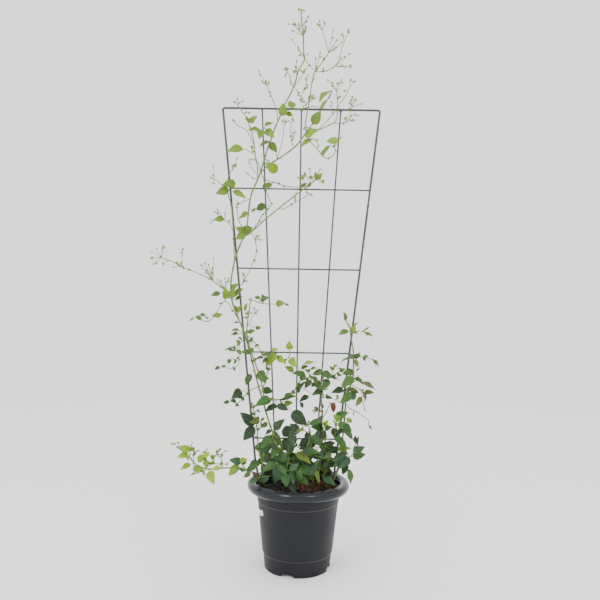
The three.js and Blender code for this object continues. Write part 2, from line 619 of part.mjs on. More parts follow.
// A sticker bent over the wall's facets: a four-cornered section at its ends and at every facet's edge.
function makeLabel() {
  const [[lowRadius, low], [highRadius, high]] = pot.wallPoints;
  const facet = 360 / pot.sides;
  const turns = [label.from];
  for (let edge = facet; edge < label.to; edge += facet) {
    if (edge > label.from) turns.push(edge);
  }
  turns.push(label.to);
  const body = loft(turns.map((turn) => {
    const share = (turn - label.from) / (label.to - label.from);
    const middle = label.middle + label.drop * (0.5 - share);
    const offset = radians((turn % facet) - facet / 2); // from the middle of the facet
    const point = (out, z) => {
      const corner = lowRadius + ((highRadius - lowRadius) * (z - low)) / (high - low);
      const r = (corner * Math.cos(radians(facet / 2)) + gap + out) / Math.cos(offset);
      return new THREE.Vector3(-r * Math.sin(radians(turn)), -r * Math.cos(radians(turn)), z);
    };
    const [bottom, top] = [middle - label.height / 2, middle + label.height / 2];
    return [point(0, bottom), point(label.thickness, bottom), point(label.thickness, top), point(0, top)];
  }));
  return geometryOf(solid(body));
}

// ---- trellis ----
const halfWidth = (z) => trellis.lowHalfWidth
  + ((z - trellis.lowBarHeight) * (trellis.topHalfWidth - trellis.lowHalfWidth))
  / (trellis.topHeight - trellis.lowBarHeight);

// Up one leg, round the two top corners and down the other leg.
function framePath() {
  const r = trellis.cornerRadius;
  const path = [];
  const corner = (side) => {
    const x = side * (trellis.topHalfWidth - r * 1.05);
    const turns = side < 0 ? [174, 150, 120, 90] : [90, 60, 30, 6];
    turns.forEach((turn) => path.push(new THREE.Vector3(
      trellis.middleX + x + r * Math.cos(radians(turn)),
      0,
      trellis.topHeight - r + r * Math.sin(radians(turn)),
    )));
  };
  const bend = (side) => new THREE.Vector3(
    trellis.middleX + side * halfWidth(trellis.legBend), 0, trellis.legBend,
  );
  const [leftFoot, rightFoot] = trellis.legFeet.map((x) => new THREE.Vector3(x, 0, trellis.legEnd));
  path.push(leftFoot, bend(-1));
  corner(-1);
  corner(1);
  path.push(bend(1), rightFoot);
  return path;
}

const uprightPaths = Array.from({ length: trellis.uprights }, (_, i) => {
  const share = (2 * (i + 1)) / (trellis.uprights + 1) - 1;
  const top = trellis.topHeight - trellis.frameWire - 1.4 * gap; // the end is square to a leaning wire
  return [trellis.uprightFoot, (trellis.uprightFoot + top) / 2, top].map((z) => new THREE.Vector3(
    trellis.middleX + share * halfWidth(z), trellis.innerY, z,
  ));
});

const crossbarPaths = trellis.crossbarHeights.map((z) => [-1, 0, 1].map((side) => new THREE.Vector3(
  trellis.middleX + side * (halfWidth(z) + 1), trellis.crossbarY, z,
)));

// ---- potting mix ----
const legs = [framePath().slice(0, 3), framePath().slice(-3)];

function mixTop(r, turn) {
  return mix.top + mix.swell * Math.sin(r / 17 + 1.3 * Math.sin(2 * turn)) * Math.cos(3 * turn + r / 29);
}

function makeMix(holes) {
  const random = randomRow(mix.seed);
  const innerRadius = (z) => {
    const wall = [[pot.footRadius, pot.floorHeight], [pot.shoulderRadius, pot.shoulderHeight], ...pot.wallPoints,
      [pot.rimCentre - pot.rimRadius + pot.wall, pot.rimHeight]];
    const i = wall.findIndex(([, height]) => height > z);
    const [[r0, z0], [r1, z1]] = [wall[i - 1], wall[i]];
    return r0 + ((r1 - r0) * (z - z0)) / (z1 - z0) - pot.wall - gap - 0.4;
  };
  const ring = (radius, height) => Array.from({ length: pot.sides }, (_, k) => {
    const turn = (2 * Math.PI * k) / pot.sides;
    return new THREE.Vector3(radius * Math.cos(turn), radius * Math.sin(turn), height(radius, turn));
  });
  const floor = pot.floorHeight + pot.wall + gap;
  const rows = [floor, pot.shoulderHeight, pot.wallPoints[0][1], pot.wallPoints[1][1]];
  const topRadius = innerRadius(mix.top - 8);
  const rings = [
    [new THREE.Vector3(0, 0, floor)],
    ...rows.map((z) => ring(innerRadius(z), () => z)),
    ring(topRadius, () => mix.top - 8),
    ...mix.rings.map((share) => ring(topRadius * share, mixTop)),
    [new THREE.Vector3(0, 0, mixTop(0, 0))],
  ];
  let body = solid(loft(rings));
  for (let i = 0; i < mix.barkPieces; i += 1) {
    const length = THREE.MathUtils.lerp(...mix.barkLength, random());
    const chip = new THREE.BoxGeometry(length, length * (0.3 + 0.25 * random()), 4 + 3 * random());
    chip.rotateX(0.5 * (random() - 0.5));
    chip.rotateY(0.5 * (random() - 0.5));
    chip.rotateZ(Math.PI * random());
    const r = 78 * Math.sqrt(random());
    const turn = 2 * Math.PI * random();
    chip.translate(r * Math.cos(turn), r * Math.sin(turn), mixTop(r, turn) + 1);
    body = body.add(solid(chip));
  }
  holes.forEach((hole) => {
    body = body.subtract(solid(hole));
  });
  return geometryOf(body);
}

// ---- leafy stems ----
// What a blade may not come near: points of every wire and stem and of every blade, each with its radius
// and its plant.
const taken = [];

function takeTube(points, radii, owner) {
  for (let i = 1; i < points.length; i += 1) {
    const steps = Math.ceil(points[i].distanceTo(points[i - 1]) / 6);
    for (let k = 0; k < steps; k += 1) {
      const at = points[i - 1].clone().lerp(points[i], k / steps);
      const share = (i - 1 + k / steps) / (points.length - 1);
      taken.push({ at, radius: THREE.MathUtils.lerp(radii[0], radii[1], share), owner });
    }
  }
}

function clearOfPot(p) {
  const r = Math.hypot(p.x, p.y);
  if (Math.hypot(r - pot.rimCentre, p.z - pot.rimHeight) < pot.rimRadius + clear.pot) return false;
  return p.z > mix.top + 9 || r > pot.rimCentre + pot.rimRadius;
}

// `apart` keeps a plant's blades out of each other too.
function isClear(points, owner, apart) {
  return points.every((p) => clearOfPot(p.at) && taken.every((other) => {
    if (other.owner === owner && !(apart && other.blade && p.blade)) return true;
    const reach = p.radius + other.radius + (other.blade && p.blade ? clear.between : 1.2);
    return p.at.distanceToSquared(other.at) > reach * reach;
  }));
}

// The half-width of a leaf at share s of its length: broad near the foot, drawn out to the tip.
const leafOutline = (s) => 2.857 * s ** 0.55 * (1 - s) ** 1.1;

// Where a blade's points lie: along the midrib, across it, and the rise of camber and fold.
function bladePoint(blade, s, t) {
  const half = (blade.length * leaf.shape * leafOutline(s)) / 2;
  const rise = blade.length * leaf.camber * 4 * s * (1 - s) + half * 2 * leaf.fold * Math.abs(t);
  return blade.foot.clone()
    .addScaledVector(blade.along, blade.length * s)
    .addScaledVector(blade.across, half * t)
    .addScaledVector(blade.normal, rise);
}

function bladeFrame(foot, heading, length, lean, turn) {
  const along = new THREE.Vector3(
    Math.cos(lean) * Math.cos(heading), Math.sin(lean), Math.cos(lean) * Math.sin(heading),
  );
  const side = new THREE.Vector3(-Math.sin(heading), 0, Math.cos(heading));
  const face = along.clone().cross(side);
  const across = side.clone().multiplyScalar(Math.cos(turn)).addScaledVector(face, Math.sin(turn));
  return { foot, along, across, normal: along.clone().cross(across), length };
}

function bladeSamples(blade, start) {
  const points = [];
  for (let i = 1; i < 4; i += 1) {
    const at = start.clone().lerp(blade.foot, 0.25 + (0.75 * i) / 4);
    points.push({ at, radius: leaf.petiole, blade: false });
  }
  for (let i = 0; i <= 8; i += 1) {
    for (let t = -1; t <= 1; t += 0.5) {
      points.push({ at: bladePoint(blade, i / 8, t), radius: clear.blade, blade: true });
    }
  }
  return points;
}

// Three-sided rings: the two edges of the blade and the midrib below it. A leaf close to its stem has no
// ring at the foot of its blade.
function leafBody(blade, start) {
  const stations = blade.length >= leaf.long ? [0.14, 0.36, 0.68] : [0.17, 0.55];
  if (blade.length < leaf.short) stations.shift();
  const stalk = blade.foot.clone().sub(start);
  const reach = stalk.length();
  const ring = (centre, axis) => {
    const across = blade.across.clone().addScaledVector(axis, -blade.across.dot(axis)).normalize();
    const below = across.clone().cross(axis);
    return [[-0.9, 0.5], [0.9, 0.5], [0, -1]].map(([a, b]) => centre.clone()
      .addScaledVector(across, a * leaf.petiole).addScaledVector(below, -b * leaf.petiole));
  };
  const rings = [ring(start, stalk.normalize())];
  if (reach > leaf.closeReach) rings.push(ring(blade.foot, blade.along));
  stations.forEach((s) => {
    const thick = leaf.thickness * (1.1 - 0.7 * s);
    rings.push([
      bladePoint(blade, s, -1), bladePoint(blade, s, 1),
      bladePoint(blade, s, 0).addScaledVector(blade.normal, -thick),
    ]);
  });
  rings.push([bladePoint(blade, 1, 0)]);
  return loft(rings);
}

// A bud on its stalk: three-sided, thin to the neck, then the pointed bud.
function budBody(start, tip) {
  const along = tip.clone().sub(start).normalize();
  const neck = tip.clone().addScaledVector(along, -bud.length);
  const belly = tip.clone().addScaledVector(along, -0.55 * bud.length);
  const side = new THREE.Vector3(along.z, 0, -along.x).normalize();
  const up = along.clone().cross(side);
  const ring = (centre, radius) => [0, 120, 240].map((turn) => centre.clone()
    .addScaledVector(side, radius * Math.cos(radians(turn)))
    .addScaledVector(up, radius * Math.sin(radians(turn))));
  return loft([ring(start, bud.stalk), ring(neck, bud.stalk), ring(belly, bud.radius), [tip]]);
}

// A plant's knots are the points of its routes, each with the way that its stem comes from.
function stemKnots(plant) {
  const knots = [];
  const [x, y] = plant.root;
  plant.stems.forEach((stem, i) => {
    const route = stem.route.map(vector);
    if (i === 0) {
      route.unshift(new THREE.Vector3(x, y, mix.top - rootDepth), new THREE.Vector3(x, y, mix.top + 12));
    } else {
      route[0].copy(nearest(knots, route[0]).at);
    }
    stem.points = route;
    route.forEach((at, k) => {
      if (k === 0 || (i === 0 && k < 3)) return;
      const back = route[k - 1];
      knots.push({ at: back.clone().lerp(at, 0.5) });
      if (k === route.length - 1) knots.push({ at: at.clone().lerp(back, stem.radii[1] / at.distanceTo(back)) });
    });
  });
  return knots;
}

const stemSides = (radii) => (radii[0] > 1.3 ? 4 : 3);

function nearest(knots, p, flat = false) {
  const distance = (knot) => Math.hypot(knot.at.x - p.x, flat ? 0 : knot.at.y - p.y, knot.at.z - p.z);
  return knots.reduce((best, knot) => (distance(knot) < distance(best) ? knot : best));
}

// A point just beside a knot, so that no two roots have an edge in common.
function beside(knot, random) {
  const stray = [random(), random(), random()].map((share) => rootStray * (share - 0.5));
  return knot.at.clone().add(vector(stray));
}

const shifts = [0, -7, 7, -14, 14, -21, 21, -30, 30];

function placeLeaves(plant, knots, bodies) {
  const random = randomRow(plant.seed);
  const front = plant.root[1] > 20 ? 1 : -1;
  plant.leaves.forEach(([x, z, heading, length, lean, turn]) => {
    const knot = nearest(knots, new THREE.Vector3(x, 0, z), true);
    const start = beside(knot, random);
    const stray = (random() - 0.5) * 0.7 * Math.hypot(x - start.x, z - start.z);
    const way = random() < 0.7 ? front : -front;
    const tilt = radians(Math.max(lean, 6 + 16 * random()));
    const reach = lean > 0 ? length : length / Math.cos(tilt);
    const roll = -radians(turn) * Math.sign(Math.cos(radians(heading)) || 1);
    const bladeAt = (dy) => bladeFrame(
      new THREE.Vector3(x, start.y + stray + dy, z), radians(heading), reach, way * tilt, roll,
    );
    const shift = shifts.find((dy) => isClear(bladeSamples(bladeAt(dy), start), plant.name, true))
      ?? shifts.find((dy) => isClear(bladeSamples(bladeAt(dy), start), plant.name, false));
    if (shift === undefined) return;
    const blade = bladeAt(shift);
    bladeSamples(blade, start).forEach((p) => taken.push({ ...p, owner: plant.name }));
    bodies.push(leafBody(blade, start));
  });
}

function placeBuds(plant, knots, bodies) {
  const random = randomRow(plant.seed + 1);
  plant.buds.forEach(([at, ...tips]) => {
    const knot = nearest(knots, new THREE.Vector3(at[0], 0, at[1]), true);
    tips.forEach(([x, z]) => {
      const start = beside(knot, random);
      const depth = (random() - 0.5) * 0.9 * Math.hypot(x - start.x, z - start.z);
      const shift = shifts.find((dy) => {
        const tip = new THREE.Vector3(x, start.y + depth + dy, z);
        const points = [0.4, 0.6, 0.8, 1].map((s) => (
          { at: start.clone().lerp(tip, s), radius: bud.radius, blade: false }));
        return isClear(points, plant.name, false);
      });
      if (shift === undefined) return;
      bodies.push(budBody(start, new THREE.Vector3(x, start.y + depth + shift, z)));
    });
  });
}

// Leaves in pairs at the knots of a plant that has only a route.
function pairedLeaves(route, seed) {
  const random = randomRow(seed);
  const leaves = [];
  route.slice(1).forEach(([x, , z], i) => {
    [-1, 1].forEach((side) => {
      const heading = side > 0 ? 25 - 30 * random() : 155 + 30 * random();
      const length = 44 + 12 * random();
      leaves.push([x + side * 12, z + 4, heading, length, 20 + 25 * random(), 20 * random()]);
    });
    if (i === route.length - 2) leaves.push([x, z + 8, 80 + 20 * random(), 46, 15, 10]);
  });
  return leaves;
}

backPlants.forEach(({ name, seed, root, route }) => {
  const leaves = pairedLeaves(route, seed + 2);
  plants.push({ name, seed, root, stems: [{ radii: [1.8, 1.1], route }], leaves, buds: [] });
});

// ---- assembly ----
const framePoints = framePath();
const wires = [
  { name: 'trellis_frame', points: framePoints, radius: trellis.frameWire, sides: 8 },
  ...uprightPaths.map((points, i) => (
    { name: `trellis_upright_${i + 1}`, points, radius: trellis.innerWire, sides: 6 })),
  ...crossbarPaths.map((points, i) => (
    { name: `trellis_crossbar_${i + 1}`, points, radius: trellis.innerWire, sides: 6 })),
];

const holes = legs.map((leg) => {
  const points = leg.map((p) => p.clone());
  const foot = points[0].z < points[2].z ? points[0] : points[2];
  foot.z -= gap;
  return tube(points, [trellis.frameWire + soilHole, trellis.frameWire + soilHole], 8);
});

const knotsOf = plants.map(stemKnots);
plants.forEach((plant) => {
  const { radii } = plant.stems[0];
  const radius = radii[0] + soilHole;
  const [x, y] = plant.root;
  const hole = [mix.top - rootDepth - gap, mix.top + 20].map((z) => new THREE.Vector3(x, y, z));
  holes.push(tube(hole, [radius, radius], stemSides(radii)));
  plant.stems.forEach((stem) => takeTube(stem.points, stem.radii, plant.name));
});
wires.forEach((wire) => takeTube(wire.points, [wire.radius, wire.radius], wire.name));

addPiece('pot', makePot(), 0x3b3f44, 0.45, 0);
addPiece('pot_label', makeLabel(), 0xe8e8e4, 0.5, 0);
addPiece('potting_mix', makeMix(holes), 0x3a2a20, 0.95, 0);
wires.forEach((wire) => {
  addPiece(wire.name, tube(wire.points, [wire.radius, wire.radius], wire.sides), 0x4a5152, 0.4, 0.3);
});

plants.forEach((plant, i) => {
  const bodies = plant.stems.map(({ points, radii }) => tube(points, radii, stemSides(radii)));
  placeLeaves(plant, knotsOf[i], bodies);
  placeBuds(plant, knotsOf[i], bodies);
  // The outer skin of the joined bodies, without any pocket that they seal.
  const [skin] = wasm.Manifold.union(bodies.map(solid)).decompose().sort((a, b) => b.volume() - a.volume());
  addPiece(plant.name, geometryOf(skin), 0x6f9a3c, 0.55, 0);
});

export default group;
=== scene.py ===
# A potted clematis in bud on a fan-shaped wire trellis: fine pieces, finishes, light and camera.
# Lengths are millimetres unless a note says metres; addPiece turns each mesh to metres.
import math

import bpy
import numpy as np
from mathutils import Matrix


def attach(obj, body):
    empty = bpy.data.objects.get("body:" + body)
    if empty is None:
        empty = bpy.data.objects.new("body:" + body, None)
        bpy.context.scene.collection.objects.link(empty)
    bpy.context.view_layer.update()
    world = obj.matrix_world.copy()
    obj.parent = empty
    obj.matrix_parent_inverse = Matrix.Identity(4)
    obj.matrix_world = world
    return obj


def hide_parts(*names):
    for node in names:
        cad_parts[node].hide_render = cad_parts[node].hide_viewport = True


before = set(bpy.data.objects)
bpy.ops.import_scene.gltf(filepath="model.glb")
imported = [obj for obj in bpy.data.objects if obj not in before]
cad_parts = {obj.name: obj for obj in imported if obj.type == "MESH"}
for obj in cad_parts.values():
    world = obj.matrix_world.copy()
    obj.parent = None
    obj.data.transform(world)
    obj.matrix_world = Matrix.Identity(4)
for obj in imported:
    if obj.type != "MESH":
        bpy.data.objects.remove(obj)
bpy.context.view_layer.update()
mm = 0.001


def linear(hexColour):
    # sRGB hex to linear: c / 12.92 below 0.04045, else ((c + 0.055) / 1.055) to the power 2.4
    c = np.array([int(hexColour[i:i + 2], 16) / 255 for i in (1, 3, 5)])
    return np.where(c <= 0.04045, c / 12.92, ((c + 0.055) / 1.055) ** 2.4)


def colour(hexColour):
    return (*linear(hexColour), 1.0)


def unit(v):
    return v / np.maximum(np.linalg.norm(v, axis=-1, keepdims=True), 1e-9)


def around(sides, start=0.0):
    # the angles of the corners of a ring
    return 2 * math.pi * (np.arange(sides) + start) / sides


def randomRow(seed):
    # 32-bit linear congruential numbers from 0 to 1, the same row as in the part's source
    state = seed
    while True:
        state = (state * 1664525 + 1013904223) % 4294967296
        yield state / 4294967296


def newMaterial(name):
    material = bpy.data.materials.new(name)
    material.use_nodes = True
    material.node_tree.nodes.clear()
    return material


def add(material, kind, inputs=(), out=0, stops=(), **settings):
    # one node with its settings, its links and the stops of a colour ramp. An input, by name or by
    # number, is a value or the output of another node.
    node = material.node_tree.nodes.new("ShaderNode" + kind)
    for name, value in settings.items():
        setattr(node, name, value)
    for name, value in inputs.items() if isinstance(inputs, dict) else enumerate(inputs):
        if isinstance(value, bpy.types.NodeSocket):
            material.node_tree.links.new(value, node.inputs[name])
        else:
            node.inputs[name].default_value = value
    for _ in stops[2:]:
        node.color_ramp.elements.new(0.5)
    for i, (place, hexColour) in enumerate(stops):
        node.color_ramp.elements[i].position = place
        node.color_ramp.elements[i].color = colour(hexColour)
    return node.outputs[out] if len(node.outputs) else node


def grain(material, size, detail, roughness, stretch=(1, 1, 1)):
    # a cloudy pattern in object coordinates, its waves about size millimetres long
    place = add(material, "TexCoord", out="Object")
    mapped = add(material, "Mapping", {"Vector": place, "Scale": stretch})
    return add(material, "TexNoise", {
        "Vector": mapped, "Scale": 1 / (size * mm), "Detail": detail, "Roughness": roughness,
    })


def finished(material, inputs):
    # the surface's inputs, led to the output
    surface = add(material, "BsdfPrincipled", inputs)
    add(material, "OutputMaterial", {"Surface": surface})
    return material


# settings that many nodes share: a smooth step, two colours mixed or multiplied, and four sums
eased = dict(interpolation_type="SMOOTHSTEP")
mixed = dict(out=2, data_type="RGBA")
shaded = dict(out=2, data_type="RGBA", blend_type="MULTIPLY")
product, difference = dict(operation="MULTIPLY"), dict(operation="SUBTRACT")
larger, absolute = dict(operation="MAXIMUM"), dict(operation="ABSOLUTE")

potFinish = dict(
    dark="#121318", light="#191a20", scuff="#35363a", scuffShare=0.3,
    # the pale line tone, at the heights of the two moulded ledges, is a painted highlight on their
    # edges
    line="#5d5a59", lines=(38.5, 161.8), lineHalf=(0.4, 1.3), ledgeHighlightShare=0.42,
)


def potMaterial():
    # injection-moulded recycled polypropylene: near-black and satin, with a fine orange peel and
    # pale scuffs;
    # a pale band along each of its two moulded lines is a painted highlight on the edge of that
    # ledge
    m, p = newMaterial("mouldedPolypropylene"), potFinish
    broad, fine = grain(m, 60, 4, 0.6), grain(m, 2.2, 2, 0.5)
    scuffs = add(m, "MapRange", [grain(m, 9, 6, 0.75, (1, 1, 0.25)), 0.62, 0.8], **eased)
    base = add(m, "ValToRGB", [broad], stops=[(0.3, p["dark"]), (0.7, p["light"])])
    scuffs = add(m, "Math", [scuffs, p["scuffShare"]], **product)
    base = add(m, "Mix", {0: scuffs, 6: base, 7: colour(p["scuff"])}, **mixed)
    height = add(m, "SeparateXYZ", [add(m, "TexCoord", out="Object")], 2)
    ledgeHighlight, (near, far) = 0.0, p["lineHalf"]
    # each moulded line gets a pale band: a painted highlight where light catches the edge of its
    # ledge
    for line in p["lines"]:
        away = add(m, "Math", [height, line * mm], **difference)
        away = add(m, "Math", [away], **absolute)
        band = add(m, "MapRange", [away, near * mm, far * mm, p["ledgeHighlightShare"], 0.0], **eased)
        ledgeHighlight = add(m, "Math", [ledgeHighlight, band], **larger)
    base = add(m, "Mix", {0: ledgeHighlight, 6: base, 7: colour(p["line"])}, **mixed)
    return finished(m, {
        "Base Color": base, "IOR": 1.49, "Specular IOR Level": 0.25,
        "Roughness": add(m, "MapRange", [broad, 0.3, 0.7, 0.42, 0.55], **eased),
        "Normal": add(m, "Bump", {"Height": fine, "Distance": 0.12 * mm, "Strength": 0.5}),
    })


def mottled(name, pattern, tones, rough, bump=None, **more):
    # a ramp of tones over one pattern; rough is one value or a range over the same pattern, and
    # bump is a pattern of its own with its depth and strength
    m = newMaterial(name)
    mottle = grain(m, *pattern)
    if isinstance(rough, tuple):
        rough = add(m, "MapRange", [mottle, *rough], **eased)
    inputs = {"Base Color": add(m, "ValToRGB", [mottle], stops=tones), "Roughness": rough, **more}
    if bump:
        inputs["Normal"] = add(m, "Bump", {
            "Height": grain(m, *bump[0]), "Distance": bump[1] * mm, "Strength": bump[2]})
    return finished(m, inputs)


def barkMaterial():
    # pine bark chips: red-brown, fibrous along the chip, matte; each chip has a tone of its own
    m = newMaterial("pineBark")
    tone = add(m, "Attribute", attribute_name="chipColour")
    fibre = grain(m, 3, 5, 0.7, (1, 2.5, 1))
    shown = add(m, "MapRange", [fibre, 0.35, 0.7], **eased)
    return finished(m, {
        "Base Color": add(m, "Mix", {0: shown, 6: colour("#1c100b"), 7: tone}, **mixed),
        "Roughness": 0.85,
        "Normal": add(m, "Bump", {"Height": fibre, "Distance": 0.9 * mm, "Strength": 0.9}),
    })


# the nerve lies at nerveAt of the half width; sideVeins waves to a blade lean forward by veinLean
bladeFinish = dict(
    nerveAt=0.52, sideVeins=11.0, veinLean=2.6, vein="#cfdc9c", veinTint=0.24, veinShare=0.36,
    midrib=(0.25, 0.75, 1.0, 0.0), nerve=(0.1, 0.5, 0.65, 0.0), side=(0.78, 1.0, 0.0, 0.4),
)


def leafMaterial():
    # living leaf blade: waxy above, with a midrib, an arched nerve on each side and a net of fine
    # veins. leafPlace holds (share along the blade, share across it, half width in millimetres).
    m, b = newMaterial("waxyLeafBlade"), bladeFinish
    tone = add(m, "Attribute", out="Color", attribute_name="leafColour")
    gloss = add(m, "Attribute", out="Alpha", attribute_name="leafColour")
    place = add(m, "Attribute", out="Vector", attribute_name="leafPlace")
    along, across, half = (add(m, "SeparateXYZ", [place], axis) for axis in range(3))
    across = add(m, "Math", [across], **absolute)
    fromMidrib = add(m, "Math", [across, half], **product)
    aside = add(m, "Math", [across, b["nerveAt"]], **difference)
    fromNerve = add(m, "Math", [add(m, "Math", [aside], **absolute), half], **product)
    midrib = add(m, "MapRange", [fromMidrib, *b["midrib"]], **eased)
    nerve = add(m, "MapRange", [fromNerve, *b["nerve"]], **eased)
    waves = add(m, "Math", [along, b["sideVeins"]], **product)
    lean = add(m, "Math", [across, b["veinLean"]], **product)
    phase = add(m, "Math", [waves, lean], **difference)
    phase = add(m, "Math", [phase, 2 * math.pi], **product)
    ripple = add(m, "Math", [phase], operation="SINE")
    side = add(m, "MapRange", [ripple, *b["side"]], **eased)
    veins = add(m, "Math", [add(m, "Math", [midrib, nerve], **larger), side], **larger)
    mottle = add(m, "MapRange", [grain(m, 7, 4, 0.6), 0.3, 0.75, 0.82, 1.12], **eased)
    body = add(m, "Mix", {0: 1.0, 6: tone, 7: mottle}, **shaded)
    pale = add(m, "Mix", {0: b["veinTint"], 6: tone, 7: colour(b["vein"])}, **mixed)
    shown = add(m, "Math", [veins, b["veinShare"]], **product)
    swell = add(m, "Math", [ripple, 0.12], **product)
    sunk = add(m, "Math", [swell, veins], **difference)
    return finished(m, {
        "Base Color": add(m, "Mix", {0: shown, 6: body, 7: pale}, **mixed),
        "Roughness": gloss, "IOR": 1.45, "Specular IOR Level": 0.35,
        "Normal": add(m, "Bump", {"Height": sunk, "Distance": 0.35 * mm, "Strength": 0.6}),
    })


def stemMaterial():
    # green bark of a vine: ribbed lengthwise, satin, browner where it is old
    m = newMaterial("greenVineBark")
    tone = add(m, "Attribute", attribute_name="stemColour")
    streak = grain(m, 5, 4, 0.65, (1, 1, 0.2))
    shade = add(m, "MapRange", [streak, 0.3, 0.75, 0.75, 1.15], **eased)
    return finished(m, {
        "Base Color": add(m, "Mix", {0: 1.0, 6: tone, 7: shade}, **shaded), "Roughness": 0.5,
        "Normal": add(m, "Bump", {"Height": streak, "Distance": 0.3 * mm, "Strength": 0.6}),
    })


def budMaterial():
    # closed sepals: pale green with a soft down
    m = newMaterial("downySepals")
    tone = add(m, "Attribute", attribute_name="budColour")
    down = add(m, "MapRange", [grain(m, 1.2, 3, 0.6), 0.3, 0.7, 0.85, 1.1], **eased)
    base = add(m, "Mix", {0: 1.0, 6: tone, 7: down}, **shaded)
    return finished(m, {"Base Color": base, "Roughness": 0.6, "Sheen Weight": 0.25})


finishes = dict(
    pot=potMaterial(), bark=barkMaterial(), leaf=leafMaterial(), stem=stemMaterial(),
    bud=budMaterial(),
    # the same polypropylene, polished by the mould on the rolled rim: bluish black and glossy
    rim=mottled(
        "polishedPolypropyleneRim", (30, 4, 0.6), [(0.3, "#04090c"), (0.7, "#0b1318")],
        (0.35, 0.7, 0.16, 0.27), ((9, 2, 0.5), 0.12, 0.4),
        **{"IOR": 1.49, "Specular IOR Level": 0.4}),
    # white gloss paper, a little soiled
    sticker=mottled("stickerPaper", (8, 4, 0.6), [(0.35, "#e9e8e4"), (0.7, "#f6f6f4")], 0.45),
    # damp peat and fine bark: nearly black, matte, in crumbs of a few millimetres
    peat=mottled(
        "dampPeat", (5, 6, 0.7), [(0.3, "#050403"), (0.55, "#0d0a08"), (0.75, "#1c120c")], 0.9,
        ((5, 6, 0.7), 1.6, 0.9)),
    # steel wire with a grey-green plastic coat: satin, slightly dirty
    wire=mottled(
        "coatedSteelWire", (14, 4, 0.65), [(0.3, "#272a2b"), (0.55, "#3c4143"), (0.75, "#565c5e")],
        (0.3, 0.7, 0.3, 0.5), ((3, 3, 0.6), 0.15, 0.6), IOR=1.52),
    # seamless white studio paper
    floor=finished(newMaterial("studioPaper"), {"Base Color": colour("#fbfbfa"), "Roughness": 0.9}),
)
print("finishes made:", len(finishes))

noTriangles = np.zeros((0, 3), int)


def quadsBetween(rows, nextRows, sides):
    # quads all the way round from each row of points to the next; a row is its first point's number
    k = np.arange(sides)
    following = (k + 1) % sides
    low, high = rows[:, None], nextRows[:, None]
    return np.stack([low + k, low + following, high + following, high + k], -1).reshape(-1, 4)


def shells(rings):
    # closed skins from rings[count, stations, sides, 3 or more columns]: quads between neighbouring
    # rings and a fan on each end
    count, stations, sides, columns = rings.shape
    ends = np.stack([rings[:, 0].mean(1), rings[:, -1].mean(1)], 1)
    vertices = np.concatenate([rings.reshape(count, -1, columns), ends], 1)
    rows = np.arange(stations - 1) * sides
    quads = quadsBetween(rows, rows + sides, sides)
    k = np.arange(sides)
    following, last = (k + 1) % sides, (stations - 1) * sides
    low = np.stack([following, k, np.full(sides, stations * sides)], -1)
    high = np.stack([last + k, last + following, np.full(sides, stations * sides + 1)], -1)
    starts = (np.arange(count) * vertices.shape[1])[:, None, None]
    return (
        vertices.reshape(-1, columns), (quads[None] + starts).reshape(-1, 4),
        (np.concatenate([low, high])[None] + starts).reshape(-1, 3),
    )


def joined(skins):
    # several (vertices, quads, triangles) as one, each with its numbers moved on
    starts = np.cumsum([0] + [len(skin[0]) for skin in skins])
    moved = lambda part: np.concatenate([skin[part] + start for skin, start in zip(skins, starts)])
    return np.concatenate([skin[0] for skin in skins]), moved(1), moved(2)


def addPiece(name, skin, finish, replaced=(), attributes=None, smooth=True, creased=None):
    # attributes: a value for every vertex, four columns for a colour and three for a vector
    vertices, quads, triangles = skin
    mesh = bpy.data.meshes.new(name)
    mesh.vertices.add(len(vertices))
    mesh.vertices.foreach_set("co", (vertices[:, :3] * mm).astype(np.float32).ravel())
    corners = np.concatenate([quads.ravel(), triangles.ravel()]).astype(np.int32)
    sizes = np.repeat((4, 3), (len(quads), len(triangles)))
    mesh.loops.add(len(corners))
    mesh.loops.foreach_set("vertex_index", corners)
    mesh.polygons.add(len(sizes))
    mesh.polygons.foreach_set("loop_start", (np.cumsum(sizes) - sizes).astype(np.int32))
    mesh.polygons.foreach_set("use_smooth", np.full(len(sizes), smooth))
    mesh.update(calc_edges=True)
    for key, values in (attributes or {}).items():
        isColour = values.shape[1] == 4
        kind, field = ("FLOAT_COLOR", "color") if isColour else ("FLOAT_VECTOR", "vector")
        layer = mesh.attributes.new(key, kind, "POINT")
        layer.data.foreach_set(field, values.astype(np.float32).ravel())
    if creased is not None:
        # an edge whose two ends are both creased is sharp
        ends = np.zeros(len(mesh.edges) * 2, np.int32)
        mesh.edges.foreach_get("vertices", ends)
        sharp = mesh.attributes.new("sharp_edge", "BOOLEAN", "EDGE")
        sharp.data.foreach_set("value", creased[ends.reshape(-1, 2)].all(1))
    mesh.materials.append(finishes[finish])
    piece = bpy.data.objects.new(name, mesh)
    bpy.context.scene.collection.objects.link(piece)
    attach(piece, "root")
    if replaced:
        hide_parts(*replaced)


def opaque(tones):
    return np.concatenate([tones, np.ones((len(tones), 1))], 1)


def squareTo(along, guide):
    # two directions square to along, the first as near as can be to the guide
    across = unit(guide - along * (along * guide).sum(-1, keepdims=True))
    return across, np.cross(along, across)


def spokes(across, up, sides):
    # across * cos(turn) + up * sin(turn) for each corner of a ring
    turn = around(sides)[:, None]
    return across[..., None, :] * np.cos(turn) + up[..., None, :] * np.sin(turn)


def tubeRings(path, radii, sides):
    # rings square to a path, led by the axis that the path runs along least
    along = unit(np.gradient(path, axis=0))
    guide = np.eye(3)[np.argmin(np.abs(along).max(0))]
    return path[:, None] + radii[:, None, None] * spokes(*squareTo(along, guide), sides)


def ballGrid(a, b):
    # a ball of radius 1: (sin a cos b, sin a sin b, cos a) for every a and b
    a = a[:, None]
    return np.stack([np.sin(a) * np.cos(b), np.sin(a) * np.sin(b), np.cos(a) + 0 * b], -1)


